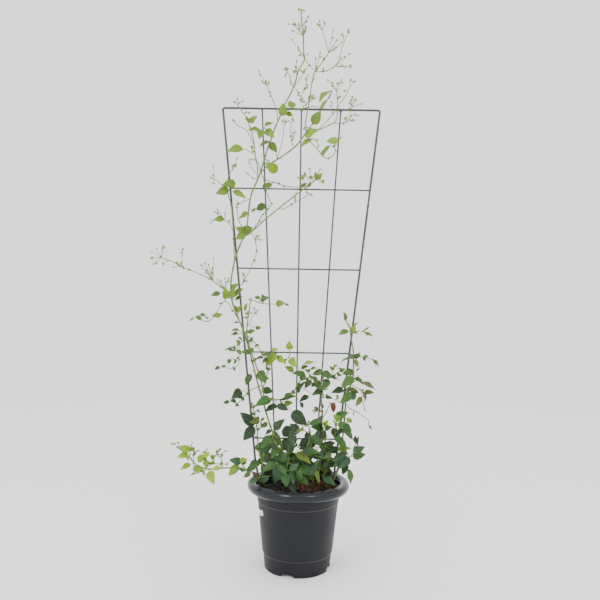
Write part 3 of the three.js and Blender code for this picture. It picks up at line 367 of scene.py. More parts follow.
def softened(points, times=2):
    # corner cutting: each inner corner gives way to points a quarter of the way along its two
    # sides, so the line runs smoothly through the middle of every stretch
    line = np.array(points, float)
    for _ in range(times):
        near = 0.75 * line[:-1] + 0.25 * line[1:]
        far = 0.25 * line[:-1] + 0.75 * line[1:]
        line = np.concatenate([line[:1], np.stack([near, far], 1).reshape(-1, 3), line[-1:]])
    return line


def valueNoise(x, y, seed, period=64):
    # smooth noise: random heights on whole numbers, blended by 3u2 - 2u3 between them
    table = np.random.default_rng(seed).random((period, period))
    i, j = np.floor(x).astype(int), np.floor(y).astype(int)
    u, v = x - i, y - j
    u, v = u * u * (3 - 2 * u), v * v * (3 - 2 * v)
    at = lambda a, b: table[a % period, b % period]
    return ((at(i, j) * (1 - u) + at(i + 1, j) * u) * (1 - v)
            + (at(i, j + 1) * (1 - u) + at(i + 1, j + 1) * u) * v) * 2 - 1


# pairs are (radius, height); the fixed points stand between shoulder, steps, neck and rim
pot = dict(
    sides=360, wall=2.4, floor=6.0, footRadius=80.3, footWidth=5.0, centreFoot=15.0,
    shoulder=(83.4, 37.0), lowStep=(86.3, 43.0), highStep=(98.8, 161.0), neck=(102.0, 176.0),
    lowWall=((81.2, 13), (82.9, 31)), midWall=(93.4, 110),
    underRim=((103, 185), (106, 190), (103, 194)), inside=((100.6, 190), (99.6, 176), (96.4, 161)),
    insideFoot=((81.0, 37), (77.9, 9), (76, 8.4), (40, 8.4)),
    rimCentre=112.5, rimHeight=198.0, rimRadius=12.5, rimSides=32, stepDepth=0.9,
    notchWidth=34.0, notchHeight=12.0, notchDegrees=(-17, 73, 163, 253), notchTop=13.0,
    drainCircle=45.0, drainRadius=6.0, drainSpan=8.0, drainDegrees=-45, drainRise=2.2,
)


def turnedRings(profile, sides):
    # a profile of (radius, height) carried round the axis, from the front towards the right
    turn = around(sides)
    radius, height = np.array(profile, float).T[:, :, None]
    return np.stack([radius * np.sin(turn), -radius * np.cos(turn), height + 0 * turn], -1)


def notchLift(rings):
    # a flat-topped arch over each notch's width: height * (1 - |share|^4)
    turn = np.arctan2(rings[..., 0], -rings[..., 1])
    lift = 0 * turn
    for degrees in pot["notchDegrees"]:
        offset = (turn - math.radians(degrees) + math.pi) % (2 * math.pi) - math.pi
        share = np.abs(offset) * pot["footRadius"] / (pot["notchWidth"] / 2)
        lift = np.maximum(lift, pot["notchHeight"] * np.clip(1 - share ** 4, 0, None))
    return lift


def drainLift(rings):
    # four holes in the floor, closed above by the mix: a step up inside each circle, 1.2 mm wide
    p = pot
    lift = 0 * rings[..., 0]
    for degrees in p["notchDegrees"]:
        turn = math.radians(degrees + p["drainDegrees"])
        x, y = p["drainCircle"] * math.sin(turn), -p["drainCircle"] * math.cos(turn)
        distance = np.hypot(rings[..., 0] - x, rings[..., 1] - y)
        inward = np.clip((p["drainRadius"] + 0.6 - distance) / 1.2, 0, 1)
        lift = np.maximum(lift, p["drainRise"] * inward)
    return lift


def makePot():
    # bottom from the middle outwards, outer wall with its two moulded lines, up into the rim, inner
    # wall, floor. The notches lift the bottom and the foot of the wall.
    p = pot
    floor, hub, ring, span = (p[key] for key in ("floor", "centreFoot", "drainCircle", "drainSpan"))
    foot, inner, step = p["footRadius"], p["footRadius"] - p["footWidth"], p["stepDepth"]
    (bend, bendUp), (low, lowUp), (high, highUp), (neck, neckUp) = (
        p[key] for key in ("shoulder", "lowStep", "highStep", "neck"))
    hollow = [(hub - 0.6, 0), (hub, 0.5), (hub + 1.5, floor)]
    hollow += [(r, floor) for r in np.arange(ring - span, ring + span + 0.5)]
    bottom = hollow + [(inner - 1.5, floor), (inner - 0.4, 1.2), (inner + 0.2, 0)]
    outer = [
        (foot - 1.2, 0), (foot - 0.3, 0.4), (foot, 1.4), (foot + 0.4, 6), *p["lowWall"],
        (bend, bendUp - 0.4), (bend + 1.3, bendUp + 0.6), (low - 0.9, lowUp - 3.6),
        (low - 0.4, lowUp - 2.4), (low, lowUp), p["midWall"], (high - 0.3, highUp - 2),
        (high + 0.2, highUp - 0.5), (high + step, highUp + 0.5), (high + step + 0.2, highUp + 2),
        (neck, neckUp + 4), *p["underRim"],
    ]
    inside = [*p["inside"], (low - p["wall"], lowUp), *p["insideFoot"]]
    rings = turnedRings(bottom + outer + inside, p["sides"])
    number = np.arange(len(rings))[:, None]
    reach, lift = np.hypot(rings[..., 0], rings[..., 1]), notchLift(rings)
    arch = np.where(reach > inner, lift, np.minimum(lift, floor))
    outside = (number < len(bottom + outer)) & (reach > inner - 1.4)
    raised = outside & (rings[..., 2] < p["notchTop"])
    rings[..., 2] = np.where(raised, np.maximum(rings[..., 2], arch), rings[..., 2])
    rings[..., 2] += np.where(number < len(hollow), drainLift(rings), 0)
    addPiece("potWall", shells(rings[None]), "pot", ["pot"])
    # the rolled rim is a ring of its own, so that it can have its polish
    turn = np.radians(np.linspace(-90, 270, p["rimSides"] + 1))[:-1]
    rim = np.stack([p["rimCentre"] + p["rimRadius"] * np.cos(turn),
                    p["rimHeight"] + p["rimRadius"] * np.sin(turn)], -1)
    rows = np.arange(p["rimSides"]) * p["sides"]
    quads = quadsBetween(rows, np.roll(rows, -1), p["sides"])
    skin = (turnedRings(rim, p["sides"]).reshape(-1, 3), quads, noTriangles)
    addPiece("potRim", skin, "rim", ["pot"])


sticker = dict(
    degrees=(-59.0, -80.0), height=13.5, middle=138.0, drop=6.5, proud=0.12, thickness=0.3,
    columns=9, rows=6,
)


def makeSticker():
    # a patch on the wall: the same cone, a little proud, with a thickness, and askew by the drop
    s = sticker
    (low, lowUp), (high, highUp) = pot["lowStep"], pot["highStep"]
    columns, rows = np.linspace(-0.5, 0.5, s["columns"]), np.linspace(-0.5, 0.5, s["rows"])[:, None]
    z = s["middle"] + rows * s["height"] + s["drop"] * columns
    wall = low + (high - low) * (z - lowUp) / (highUp - lowUp) + s["proud"]
    turn = np.radians(np.mean(s["degrees"]) + columns * (s["degrees"][0] - s["degrees"][1]))
    radius = np.concatenate([wall, (wall + s["thickness"])[:, ::-1]], 1)
    turns, heights = np.concatenate([turn, turn[::-1]]), np.concatenate([z, z[:, ::-1]], 1)
    rings = np.stack([radius * np.sin(turns), -radius * np.cos(turns), heights], -1)
    vertices, quads, _ = shells(rings[None])
    k, ring = np.arange(s["columns"] - 1), 2 * s["columns"]
    cap = np.stack([k, k + 1, ring - 2 - k, ring - 1 - k], -1)
    caps = [cap[:, ::-1], cap + (s["rows"] - 1) * ring]
    skin = (vertices[:-2], np.concatenate([quads] + caps), noTriangles)
    addPiece("potSticker", skin, "sticker", ["pot_label"])


makePot()
makeSticker()
print("pot made")

# crumbs are (height, wave length, seed); walls are (radius, height) where the mix meets the pot
mix = dict(
    top=184.0, edge=98.3, edgeDrop=4.0, rings=46, sides=150, swell=3.0, swellLengths=(17, 29),
    crumbs=((2.2, 14, 3), (1.5, 6, 4), (1.0, 2.6, 5)),
    walls=((76.5, 9.2), (80.2, 37), (83.1, 43), (95.6, 160)),
)


def mixHeight(r, turn):
    # the coarse swell of the heap
    first, second = mix["swellLengths"]
    along, across = np.sin(r / first + 1.3 * np.sin(2 * turn)), np.cos(3 * turn + r / second)
    return mix["top"] + mix["swell"] * along * across


def makeMix():
    # rings from the edge to the middle: the swell, with crumbs by three sizes of smooth noise
    share = np.linspace(1, 0.01, mix["rings"])[:, None]
    turn = around(mix["sides"])[None]
    r = mix["edge"] * share + 0 * turn
    x, y = r * np.cos(turn), r * np.sin(turn)
    crumbs = sum(high * valueNoise(x / wave, y / wave, seed) for high, wave, seed in mix["crumbs"])
    top = np.stack([x, y, mixHeight(r, turn) + crumbs - mix["edgeDrop"] * share ** 12], -1)
    radius, height = np.array(mix["walls"], float).T[:, :, None]
    walls = np.stack([radius * np.cos(turn), radius * np.sin(turn), height + 0 * turn], -1)
    addPiece("pottingMix", shells(np.concatenate([walls, top])[None]), "peat",
             ["potting_mix"])


# count, length, height and spread are for the small chips and then for the big ones, and sunk is
# the share of its height that a chip lies in the mix
chips = dict(
    count=(300, 30), length=((6, 15), (24, 46)), width=(0.3, 0.6), height=((2, 4.5), (5, 9)),
    spread=(93, 80), bigDegrees=(-50, 50), knocks=0.22, tilt=(0.35, 0.3), sunk=0.25, seed=8,
    tones=("#20140e", "#2f1a11", "#15100d", "#3a2115", "#0f0b09", "#4a3527"),
    bigTone="#6a351e", bigBright=(0.6, 1.3), rows=5, sides=8,
)


def makeChips():
    # boxes with rounded and uneven corners: |x|^4 + |y|^4 + |z|^4 = 1, stretched and knocked about
    c = chips
    rows, sides, count = c["rows"], c["sides"], sum(c["count"])
    rng = np.random.default_rng(c["seed"])
    big = np.arange(count) < c["count"][1]
    sized = lambda small, large: np.where(
        big, rng.uniform(*large, count), rng.uniform(*small, count))
    length = sized(*c["length"])
    width = length * rng.uniform(*c["width"], count)
    height = sized(*c["height"])
    ball = ballGrid(math.pi * (np.arange(rows) + 0.5) / rows, around(sides, 0.5))[..., [2, 0, 1]]
    block = ball / (np.abs(ball) ** 4).sum(-1, keepdims=True) ** 0.25
    knocked = block[None] * (1 + c["knocks"] * rng.standard_normal((count, rows, sides, 1)))
    turned = knocked * np.stack([length, width, height], -1)[:, None, None] / 2
    heading = rng.uniform(0, 2 * math.pi, count)
    roll, pitch = (rng.normal(0, tilt, count) for tilt in c["tilt"])
    for angle, (p, q) in ((roll, (1, 2)), (pitch, (0, 2)), (heading, (0, 1))):
        cos, sin = np.cos(angle)[:, None, None], np.sin(angle)[:, None, None]
        first, second = turned[..., p], turned[..., q]
        turned[..., p], turned[..., q] = first * cos - second * sin, first * sin + second * cos
    r = np.where(big, *c["spread"][::-1]) * np.sqrt(rng.random(count))
    turn = rng.uniform(0, 2 * math.pi, count)
    # the big chips lie at the right, where the leaves leave the mix bare
    turn = np.where(big, np.radians(rng.uniform(*c["bigDegrees"], count)), turn)
    place = np.stack([
        r * np.cos(turn), r * np.sin(turn), mixHeight(r, turn) + (0.5 - c["sunk"]) * height], -1)
    tones = np.array([linear(tone) for tone in c["tones"]])
    picked = tones[rng.integers(0, len(tones), count)]
    picked[big] = linear(c["bigTone"]) * rng.uniform(*c["bigBright"], (big.sum(), 1))
    addPiece("barkChips", shells(turned + place[:, None, None]), "bark",
             ["potting_mix"], dict(chipColour=np.repeat(opaque(picked), rows * sides + 2, 0)),
             smooth=False)


makeMix()
makeChips()
print("potting mix made")

trellis = dict(
    middleX=-8.0, topHeight=1120.0, topHalfWidth=193.3, lowBarHeight=309.0, lowHalfWidth=104.8,
    legEnd=112.0, legBend=260.0, legFeet=(-80.0, 76.0), cornerRadius=5.0, frameWire=2.75,
    innerWire=2.0, innerY=0.8, crossbarY=5.1, crossbars=(924, 727, 521, 309), uprightFoot=300.0,
    uprights=3, gap=0.3, wireSides=16, coatWander=0.035,
)


def halfWidth(z):
    # the fan's half width, in line with its top and its lowest bar
    t = trellis
    return t["lowHalfWidth"] + (z - t["lowBarHeight"]) * (t["topHalfWidth"] - t["lowHalfWidth"]) / (
        t["topHeight"] - t["lowBarHeight"])


def framePath(legs, turns, bar):
    # up one leg through the given heights, round the corner through the given degrees, along the
    # top bar through the given shares, and down again; below the bend each leg runs straight to its
    # foot inside the rim
    t = trellis
    r = t["cornerRadius"]
    legs, turn = np.array(legs, float), np.radians(turns)
    low = np.clip((t["legBend"] - legs) / (t["legBend"] - t["legEnd"]), 0, 1)
    sides = []
    for side, foot in zip((-1, 1), t["legFeet"]):
        straight = t["middleX"] + side * halfWidth(np.maximum(legs, t["legBend"]))
        leg = np.stack([straight * (1 - low) + foot * low, 0 * legs, legs], -1)
        corner = np.stack([
            -side * r * np.cos(turn), 0 * turn, t["topHeight"] - r + r * np.sin(turn)], -1)
        corner[:, 0] += t["middleX"] + side * (t["topHalfWidth"] - r * 1.05)
        sides.append(np.concatenate([leg, corner]))
    left, right = sides[0], sides[1][::-1]
    top = left[-1] + (right[0] - left[-1]) * np.array(bar)[:, None]
    return np.concatenate([left, top, right])


def uprightPath(i, z):
    # the uprights share out the width evenly
    t = trellis
    share = 2 * (i + 1) / (t["uprights"] + 1) - 1
    return np.stack([t["middleX"] + share * halfWidth(z), np.full(len(z), t["innerY"]), z], -1)


def crossbarPath(height, shares):
    # a crossbar reaches 1 mm past the middle of each leg
    t = trellis
    x = t["middleX"] + np.array(shares) * (halfWidth(height) + 1)
    return np.stack([x, np.full(len(x), t["crossbarY"]), np.full(len(x), float(height))], -1)


def makeTrellis():
    # the outer wire, the uprights and the crossbars; the thickness of the coat wanders a little
    t = trellis
    legs = np.linspace(t["legEnd"], t["topHeight"] - 2.4 * t["cornerRadius"], 60)
    path = framePath(legs, np.linspace(174, 90, 10), np.linspace(0.02, 0.98, 40))
    wires = [("trellisFrameWire", "trellis_frame", path, t["frameWire"])]
    heights = np.linspace(t["uprightFoot"], t["topHeight"] - t["frameWire"] - 0.4, 80)
    shares = np.linspace(-1, 1, 50)
    for kind, paths in (("Upright", [uprightPath(i, heights) for i in range(t["uprights"])]),
                        ("Crossbar", [crossbarPath(height, shares) for height in t["crossbars"]])):
        wires += [(f"trellis{kind}Wire{i}", f"trellis_{kind.lower()}_{i}", path, t["innerWire"])
                  for i, path in enumerate(paths, 1)]
    for seed, (name, node, path, radius) in enumerate(wires):
        place = np.arange(len(path)) / 3.0
        radii = radius * (1 + t["coatWander"] * valueNoise(place, 0 * place, seed))
        rings = tubeRings(path, radii, t["wireSides"])
        addPiece(name, shells(rings[None]), "wire", [node])


# sideDepth and middleDepth are how far back the weld lies at a leg and at an upright
weld = dict(
    size=(3.1, 2.6, 3.1), vary=(0.85, 1.2), sideDepth=2.6, middleDepth=2.9, topDepth=0.5,
    topDrop=3.2, stations=9, sides=12, seed=2,
)


def makeWelds():
    # at each crossing a small puddle of weld and coat between the two wires: a squashed ball
    t, w = trellis, weld
    places = [(t["middleX"] + share * halfWidth(height),
               w["sideDepth"] if abs(share) == 1 else w["middleDepth"], height)
              for height in t["crossbars"] for share in (-1, -0.5, 0, 0.5, 1)]
    places += [(t["middleX"] + share * halfWidth(t["topHeight"]), w["topDepth"],
                t["topHeight"] - w["topDrop"]) for share in (-0.5, 0, 0.5)]
    places = np.array(places, float)
    ball = ballGrid(np.radians(np.linspace(8, 172, w["stations"])), around(w["sides"]))
    rng = np.random.default_rng(w["seed"])
    size = np.array(w["size"]) * rng.uniform(*w["vary"], (len(places), 1))
    rings = places[:, None, None] + ball[None, :, ::-1] * size[:, None, None]
    addPiece("trellisWelds", shells(rings), "wire")


makeTrellis()
makeWelds()
print("trellis made")

# Each plant: the place of its root, then stems as ((first radius, last radius), route). The first
# stem stands in the mix and every other one starts at the nearest knot of those before it. A leaf
# is (x, z, heading, length, lean, turn, tone), and a group of buds is the point it springs from and
# then the tip of each bud. twigs, smallLeaves and moreBuds are too fine for the part's solids.
plants = [dict(
    name="main_vine", seed=1001, root=(-44, -4),
    stems=[
        ((2.4, 1.7), [(-40, -8, 229), (-46, -9, 264), (-54, -10, 296), (-62, -10, 320),
            (-72, -10, 344), (-82, -10, 376), (-91, -10, 405), (-100, -10, 434), (-109, -10, 466),
            (-118, -10, 500), (-126, -10, 527), (-134, -9, 556), (-143, -9, 580), (-157, -9, 612),
            (-170, -8, 643), (-174, -7, 673), (-173, -7, 697), (-169, -8, 727), (-162, -9, 756),
            (-155, -9, 778), (-143, -8, 805)]),
        ((1.7, 1.2), [(-143, -8, 805), (-136, -8, 827), (-134, -8, 857), (-132, -8, 881),
            (-126, -9, 913), (-116, -9, 935), (-109, -9, 950), (-104, -9, 967), (-95, -9, 999),
            (-88, -8, 1024), (-79, -8, 1049), (-72, -8, 1073), (-60, -8, 1098), (-51, -9, 1125),
            (-34, -8, 1157), (-23, -7, 1185), (-18, -6, 1214), (-1, -4, 1240), (-5, -3, 1255),
            (-6, -3, 1289), (-6, -3, 1309), (-12, -2, 1339), (-13, -2, 1356)]),
        ((1.5, 1.0), [(-143, -8, 805), (-129, -8, 813), (-117, -8, 823), (-100, -8, 840),
            (-73, -8, 863), (-49, -9, 883), (-25, -10, 902), (-3, -10, 919), (11, -9, 930),
            (23, -7, 941), (33, -6, 948)]),
        ((1.7, 1.0), [(-104, -9, 967), (-90, -9, 977), (-73, -9, 989), (-58, -8, 998),
            (-34, -8, 1015), (-17, -8, 1030), (-1, -8, 1053), (11, -8, 1070), (21, -8, 1085),
            (42, -9, 1119), (64, -7, 1159)]),
        ((1.5, 1.1), [(-91, -10, 405), (-90, -11, 430), (-95, -12, 454), (-104, -13, 478),
            (-112, -14, 500), (-120, -14, 522), (-127, -13, 546), (-133, -12, 568),
            (-131, -12, 595), (-127, -10, 622), (-125, -8, 649)]),
        ((1.3, 0.9), [(-91, -10, 405), (-73, -11, 408), (-48, -12, 406), (-34, -12, 414),
            (-19, -12, 424), (-10, -12, 434), (-5, -12, 446), (2, -12, 456), (14, -12, 458),
            (24, -14, 464), (19, -14, 478), (2, -14, 485)]),
        ((1.1, 0.8), [(-90, -11, 430), (-83, -14, 455), (-79, -15, 479), (-72, -15, 499),
            (-57, -15, 509), (-40, -15, 502), (-26, -14, 512), (-27, -14, 529)]),
        ((0.9, 0.7), [(-100, -10, 434), (-122, -14, 429), (-138, -16, 412), (-150, -16, 395),
            (-165, -16, 401)]),
        ((1.0, 0.7), [(-116, -9, 935), (-112, -11, 967), (-116, -12, 991), (-120, -12, 1010),
            (-123, -12, 1040), (-133, -12, 1071), (-141, -11, 1093), (-158, -9, 1116),
            (-164, -7, 1126)]),
        ((0.7, 0.6), [(-120, -12, 1006), (-134, -12, 1013), (-149, -12, 1017)]),
        ((0.7, 0.6), [(-123, -12, 1040), (-134, -12, 1054), (-146, -12, 1067), (-162, -12, 1073),
            (-172, -12, 1083)]),
        ((0.9, 0.7), [(-117, -8, 823), (-107, -10, 842), (-100, -10, 857), (-86, -10, 870),
            (-76, -10, 884), (-86, -9, 902), (-91, -8, 919), (-97, -8, 941), (-104, -11, 962),
            (-113, -13, 986)]),
        ((0.8, 0.6), [(-73, -8, 863), (-47, -9, 872), (-30, -9, 883), (-8, -9, 896),
            (12, -9, 908)]),
        ((1.0, 0.7), [(-164, -9, 751), (-168, -9, 795), (-171, -9, 834), (-175, -9, 880),
            (-184, -10, 905), (-189, -12, 926), (-183, -8, 954), (-175, -8, 966)]),
        ((0.7, 0.6), [(-189, -12, 926), (-206, -13, 935), (-218, -13, 943)]),
        ((0.7, 0.6), [(-168, -9, 834), (-180, -11, 839), (-192, -12, 843)]),
        ((0.9, 0.7), [(-170, -8, 655), (-180, -9, 670), (-195, -10, 677), (-209, -11, 688),
            (-224, -12, 699), (-249, -13, 710), (-273, -14, 720), (-288, -14, 724),
            (-299, -14, 730), (-317, -14, 740), (-332, -14, 744), (-344, -14, 750)]),
        ((0.8, 0.6), [(-161, -8, 673), (-148, -9, 683), (-139, -10, 698), (-127, -11, 722),
            (-118, -11, 744), (-111, -10, 767), (-114, -9, 789), (-118, -8, 801), (-126, -8, 813)]),
        ((0.8, 0.7), [(-149, -9, 597), (-166, -11, 621), (-184, -13, 648), (-194, -15, 640),
            (-207, -17, 616), (-222, -18, 595), (-234, -18, 595), (-244, -18, 598)]),
        ((0.7, 0.5), [(-125, -8, 646), (-111, -11, 647), (-101, -12, 641), (-82, -12, 640),
            (-64, -12, 640)]),
        ((0.6, 0.5), [(-134, -12, 576), (-122, -15, 600), (-113, -16, 617)]),
        ((1.2, 0.9), [(-1, -8, 1053), (2, -9, 1087), (8, -9, 1121), (12, -8, 1148), (17, -6, 1186),
            (21, -5, 1206), (28, -4, 1217), (45, -2, 1242), (57, -2, 1260)]),
        ((0.7, 0.6), [(31, -4, 1214), (41, -6, 1211), (53, -7, 1213), (65, -8, 1219),
            (78, -8, 1229), (84, -8, 1250), (92, -8, 1282), (103, -8, 1306)]),
        ((0.7, 0.6), [(57, -2, 1260), (49, 0, 1287), (39, 2, 1317)]),
        ((1.0, 0.8), [(11, -8, 1070), (28, -8, 1068), (41, -8, 1070), (60, -8, 1080),
            (79, -8, 1089), (80, -9, 1112), (81, -8, 1144), (77, -7, 1164)]),
        ((0.7, 0.6), [(41, -8, 1070), (60, -9, 1095), (76, -10, 1117), (91, -9, 1139),
            (103, -8, 1157), (110, -7, 1177)]),
        ((0.7, 0.6), [(79, -8, 1088), (94, -9, 1084), (111, -9, 1092), (111, -9, 1120),
            (116, -8, 1125)]),
        ((0.8, 0.6), [(-1, -8, 1053), (14, -10, 1038), (27, -11, 1027), (37, -11, 1015),
            (47, -11, 1001), (59, -10, 997), (71, -9, 1005), (78, -9, 1017), (74, -10, 1026),
            (66, -11, 1028)]),
        ((0.6, 0.5), [(16, -10, 1050), (29, -12, 1042), (35, -12, 1030), (32, -11, 1021)]),
        ((0.8, 0.6), [(-60, -8, 1098), (-68, -9, 1115), (-78, -8, 1137), (-86, -7, 1157),
            (-92, -7, 1174)]),
        ((0.8, 0.6), [(-34, -8, 1157), (-37, -8, 1179), (-35, -8, 1196), (-44, -8, 1207)]),
        ((0.6, 0.5), [(-23, -7, 1185), (-17, -7, 1160), (-13, -8, 1143), (-5, -8, 1158)]),
        ((0.6, 0.5), [(-23, -7, 1185), (-13, -7, 1192), (-6, -7, 1205)]),
        ((0.8, 0.6), [(-51, -9, 1125), (-34, -10, 1116), (-13, -9, 1116), (5, -9, 1122),
            (23, -9, 1126), (35, -9, 1123)]),
        ((0.7, 0.6), [(-59, -8, 999), (-54, -10, 1034), (-51, -10, 1063), (-49, -10, 1078)]),
        ((0.7, 0.6), [(-32, -8, 1016), (-34, -10, 1049), (-32, -10, 1083)]),
        ((0.6, 0.5), [(-111, -9, 943), (-123, -12, 946), (-133, -13, 954)]),
    ],
    twigs=[
        ((0.8, 0.7), [(-133, -12, 568), (-122, -13, 556), (-109, -14, 541), (-94, -14, 523),
            (-87, -14, 508), (-79, -15, 479)]),
        ((0.8, 0.6), [(-94, -8, 946), (-87, -9, 941), (-75, -9, 938), (-62, -9, 935),
            (-48, -9, 929), (-28, -10, 927), (-8, -11, 926), (11, -9, 930)]),
        ((0.8, 0.6), [(-132, -8, 886), (-145, -9, 890), (-159, -10, 881)]),
        ((0.8, 0.6), [(-141, -8, 810), (-151, -9, 830), (-159, -10, 849), (-161, -10, 873),
            (-165, -10, 876)]),
        ((0.6, 0.5), [(-222, -18, 595), (-229, -18, 603), (-234, -18, 608)]),
        ((0.7, 0.5), [(-137, -9, 556), (-148, -12, 546), (-151, -14, 527), (-150, -16, 510),
            (-148, -16, 495), (-159, -16, 484), (-171, -16, 480), (-181, -16, 486)]),
        ((0.6, 0.5), [(-148, -16, 495), (-157, -16, 501), (-164, -16, 505)]),
        ((0.6, 0.5), [(-151, -14, 527), (-160, -14, 526), (-170, -14, 525)]),
        ((0.7, 0.6), [(21, -5, 1206), (11, -5, 1225), (-1, -4, 1240)]),
        ((0.7, 0.6), [(57, -2, 1260), (72, -4, 1270), (89, -6, 1283), (92, -6, 1297)]),
        ((0.7, 0.6), [(-13, -9, 1116), (-4, -9, 1126), (7, -9, 1131)]),
        ((0.7, 0.6), [(-68, -9, 990), (-66, -9, 1002), (-71, -9, 1016), (-81, -10, 1034)]),
        ((0.6, 0.5), [(-109, -9, 950), (-121, -12, 964), (-131, -13, 978)]),
    ],
    leaves=[
        (-27, 530, 90, 30, 40, 0, "y"), (-59, 520, 230, 43, 0, 40, "y"),
        (-55, 512, 330, 27, 35, 0, "y"), (-24, 508, 305, 32, 40, 0, "y"),
        (-16, 478, 155, 26, 0, 30, "l"), (9, 495, 10, 32, 0, 70, "y"),
        (14, 462, 155, 38, 0, 55, "g"), (-120, 468, 245, 30, 0, 25, "d"),
        (-101, 476, 305, 39, 30, 0, "g"), (-91, 432, 335, 32, 35, 0, "g"),
        (-143, 427, 215, 39, 50, 0, "d"), (-70, 407, 200, 42, 0, 35, "g"),
        (-55, 393, 205, 34, 0, 50, "d"), (-54, 395, 340, 30, 0, 25, "d"),
        (-41, 407, 20, 36, 0, 60, "g"), (-6, 426, 55, 37, 0, 60, "g"),
        (27, 456, 230, 25, 0, 25, "d"), (-18, 378, 320, 50, 0, 5, "d"),
        (22, 416, 210, 28, 0, 50, "d"), (-62, 641, 5, 27, 30, 0, "l"),
        (-173, 670, 45, 29, 0, 35, "l"), (-168, 656, 40, 36, 0, 50, "l"),
        (-185, 650, 95, 31, 0, 30, "y"), (-178, 653, 80, 27, 0, 50, "l"),
        (-168, 654, 80, 28, 0, 35, "l"), (-199, 664, 195, 24, 0, 30, "g"),
        (-151, 810, 35, 41, 35, 0, "l"), (-143, 808, 220, 32, 45, 0, "l"),
        (-134, 862, 210, 27, 0, 40, "y"), (-91, 881, 195, 32, 35, 0, "g"),
        (-193, 846, 185, 25, 0, 5, "l"), (-172, 913, 340, 36, 0, 45, "l"),
        (-166, 933, 195, 36, 30, 0, "l"), (-182, 918, 200, 34, 10, 0, "l"),
        (-149, 1017, 190, 40, 0, 35, "l"), (-65, 963, 145, 41, 30, 0, "y"),
        (-85, 1038, 215, 29, 0, 40, "l"), (-85, 1038, 310, 30, 15, 0, "l"),
        (-94, 1067, 315, 32, 20, 0, "l"), (-96, 1073, 25, 27, 0, 45, "l"),
        (-102, 1063, 255, 34, 35, 0, "l"), (-112, 1068, 195, 27, 0, 40, "l"),
        (-132, 1082, 40, 24, 0, 15, "l"), (-53, 1101, 90, 34, 30, 0, "l"),
        (-41, 1119, 30, 30, 40, 0, "l"), (66, 1164, 225, 45, 0, 60, "l"),
        (60, 1155, 240, 42, 0, 70, "y"), (21, 1082, 60, 39, 20, 0, "l"),
        (2, 1050, 25, 37, 0, 30, "y"), (20, 1044, 215, 37, 0, 50, "y"),
        (83, 1038, 170, 30, 0, 15, "y"), (44, 1004, 50, 33, 0, 50, "l"),
    ],
    smallLeaves=[
        (-70, 527, 15, 18, 0, 35, "y"), (-155, 401, 160, 16, 0, 30, "g"),
        (-171, 400, 190, 17, 0, 35, "g"), (-38, 396, 15, 23, 0, 25, "l"),
        (-37, 415, 35, 22, 0, 50, "g"), (1, 402, 300, 17, 0, 35, "d"), (4, 483, 25, 19, 0, 45, "g"),
        (24, 484, 10, 17, 0, 60, "g"), (-72, 519, 185, 22, 0, 55, "d"),
        (-82, 508, 230, 16, 0, 30, "d"), (-91, 509, 190, 20, 0, 55, "p"),
        (-123, 520, 175, 23, 0, 30, "p"), (-152, 574, 180, 20, 0, 55, "d"),
        (-154, 566, 190, 20, 0, 55, "d"), (-144, 552, 150, 12, 0, 40, "d"),
        (-152, 592, 175, 15, 0, 60, "d"), (-129, 569, 20, 20, 0, 25, "d"),
        (-112, 581, 0, 16, 25, 0, "d"), (-171, 524, 105, 12, 0, 10, "d"),
        (-170, 532, 15, 13, 0, 55, "p"), (-167, 526, 185, 22, 0, 65, "d"),
        (-170, 505, 240, 17, 25, 0, "d"), (-182, 488, 195, 12, 0, 5, "p"),
        (-197, 483, 205, 16, 0, 35, "d"), (-242, 602, 165, 20, 30, 0, "p"),
        (-261, 602, 215, 13, 0, 40, "l"), (-243, 612, 0, 15, 20, 0, "g"),
        (-207, 609, 170, 12, 0, 40, "g"), (-207, 609, 15, 21, 25, 0, "l"),
        (-101, 653, 165, 16, 0, 20, "d"), (-94, 645, 95, 21, 0, 30, "p"),
        (-96, 651, 15, 20, 0, 35, "p"), (-40, 641, 335, 12, 0, 30, "p"),
        (-160, 648, 30, 20, 0, 45, "d"), (-158, 619, 115, 21, 0, 50, "l"),
        (-152, 617, 75, 23, 0, 55, "l"), (-138, 622, 75, 23, 0, 55, "y"),
        (-148, 817, 160, 23, 55, 0, "l"), (-116, 872, 210, 15, 0, 40, "p"),
        (-218, 844, 230, 19, 0, 70, "p"), (-92, 926, 40, 23, 30, 0, "l"),
        (-93, 933, 270, 21, 0, 60, "p"), (-132, 1081, 145, 16, 30, 0, "l"),
        (-45, 1114, 330, 20, 15, 0, "l"), (-6, 945, 45, 20, 0, 25, "l"),
        (-7, 947, 190, 11, 0, 50, "l"), (13, 953, 0, 14, 25, 0, "y"), (34, 946, 110, 21, 0, 5, "l"),
        (34, 946, 50, 20, 30, 0, "l"), (-6, 926, 35, 20, 0, 45, "l"), (11, 929, 50, 15, 0, 20, "g"),
    ],
    buds=[
        [(-13, 1356), (-22, 1366)], [(-6, 1309), (-34, 1332), (-1, 1344)],
        [(-5, 1255), (-37, 1294)], [(-2, 1324), (7, 1347)], [(39, 1317), (31, 1339)],
        [(57, 1260), (66, 1313)], [(103, 1306), (100, 1314)], [(78, 1229), (110, 1253)],
        [(28, 1217), (36, 1259)], [(53, 1213), (42, 1220)], [(77, 1164), (91, 1199)],
        [(110, 1177), (121, 1192)], [(116, 1125), (116, 1154)], [(111, 1098), (135, 1106)],
        [(-92, 1174), (-115, 1208)], [(-44, 1207), (-53, 1217)], [(-6, 1205), (3, 1222)],
        [(-5, 1158), (8, 1200)], [(-164, 1126), (-165, 1145)], [(-172, 1083), (-178, 1089)],
        [(-143, 1096), (-132, 1108)], [(-133, 954), (-141, 961)], [(-175, 966), (-162, 998)],
        [(-218, 943), (-221, 977)], [(-195, 847), (-212, 872)], [(-115, 796), (-103, 810)],
        [(-139, 698), (-145, 717)], [(-190, 675), (-209, 701)],
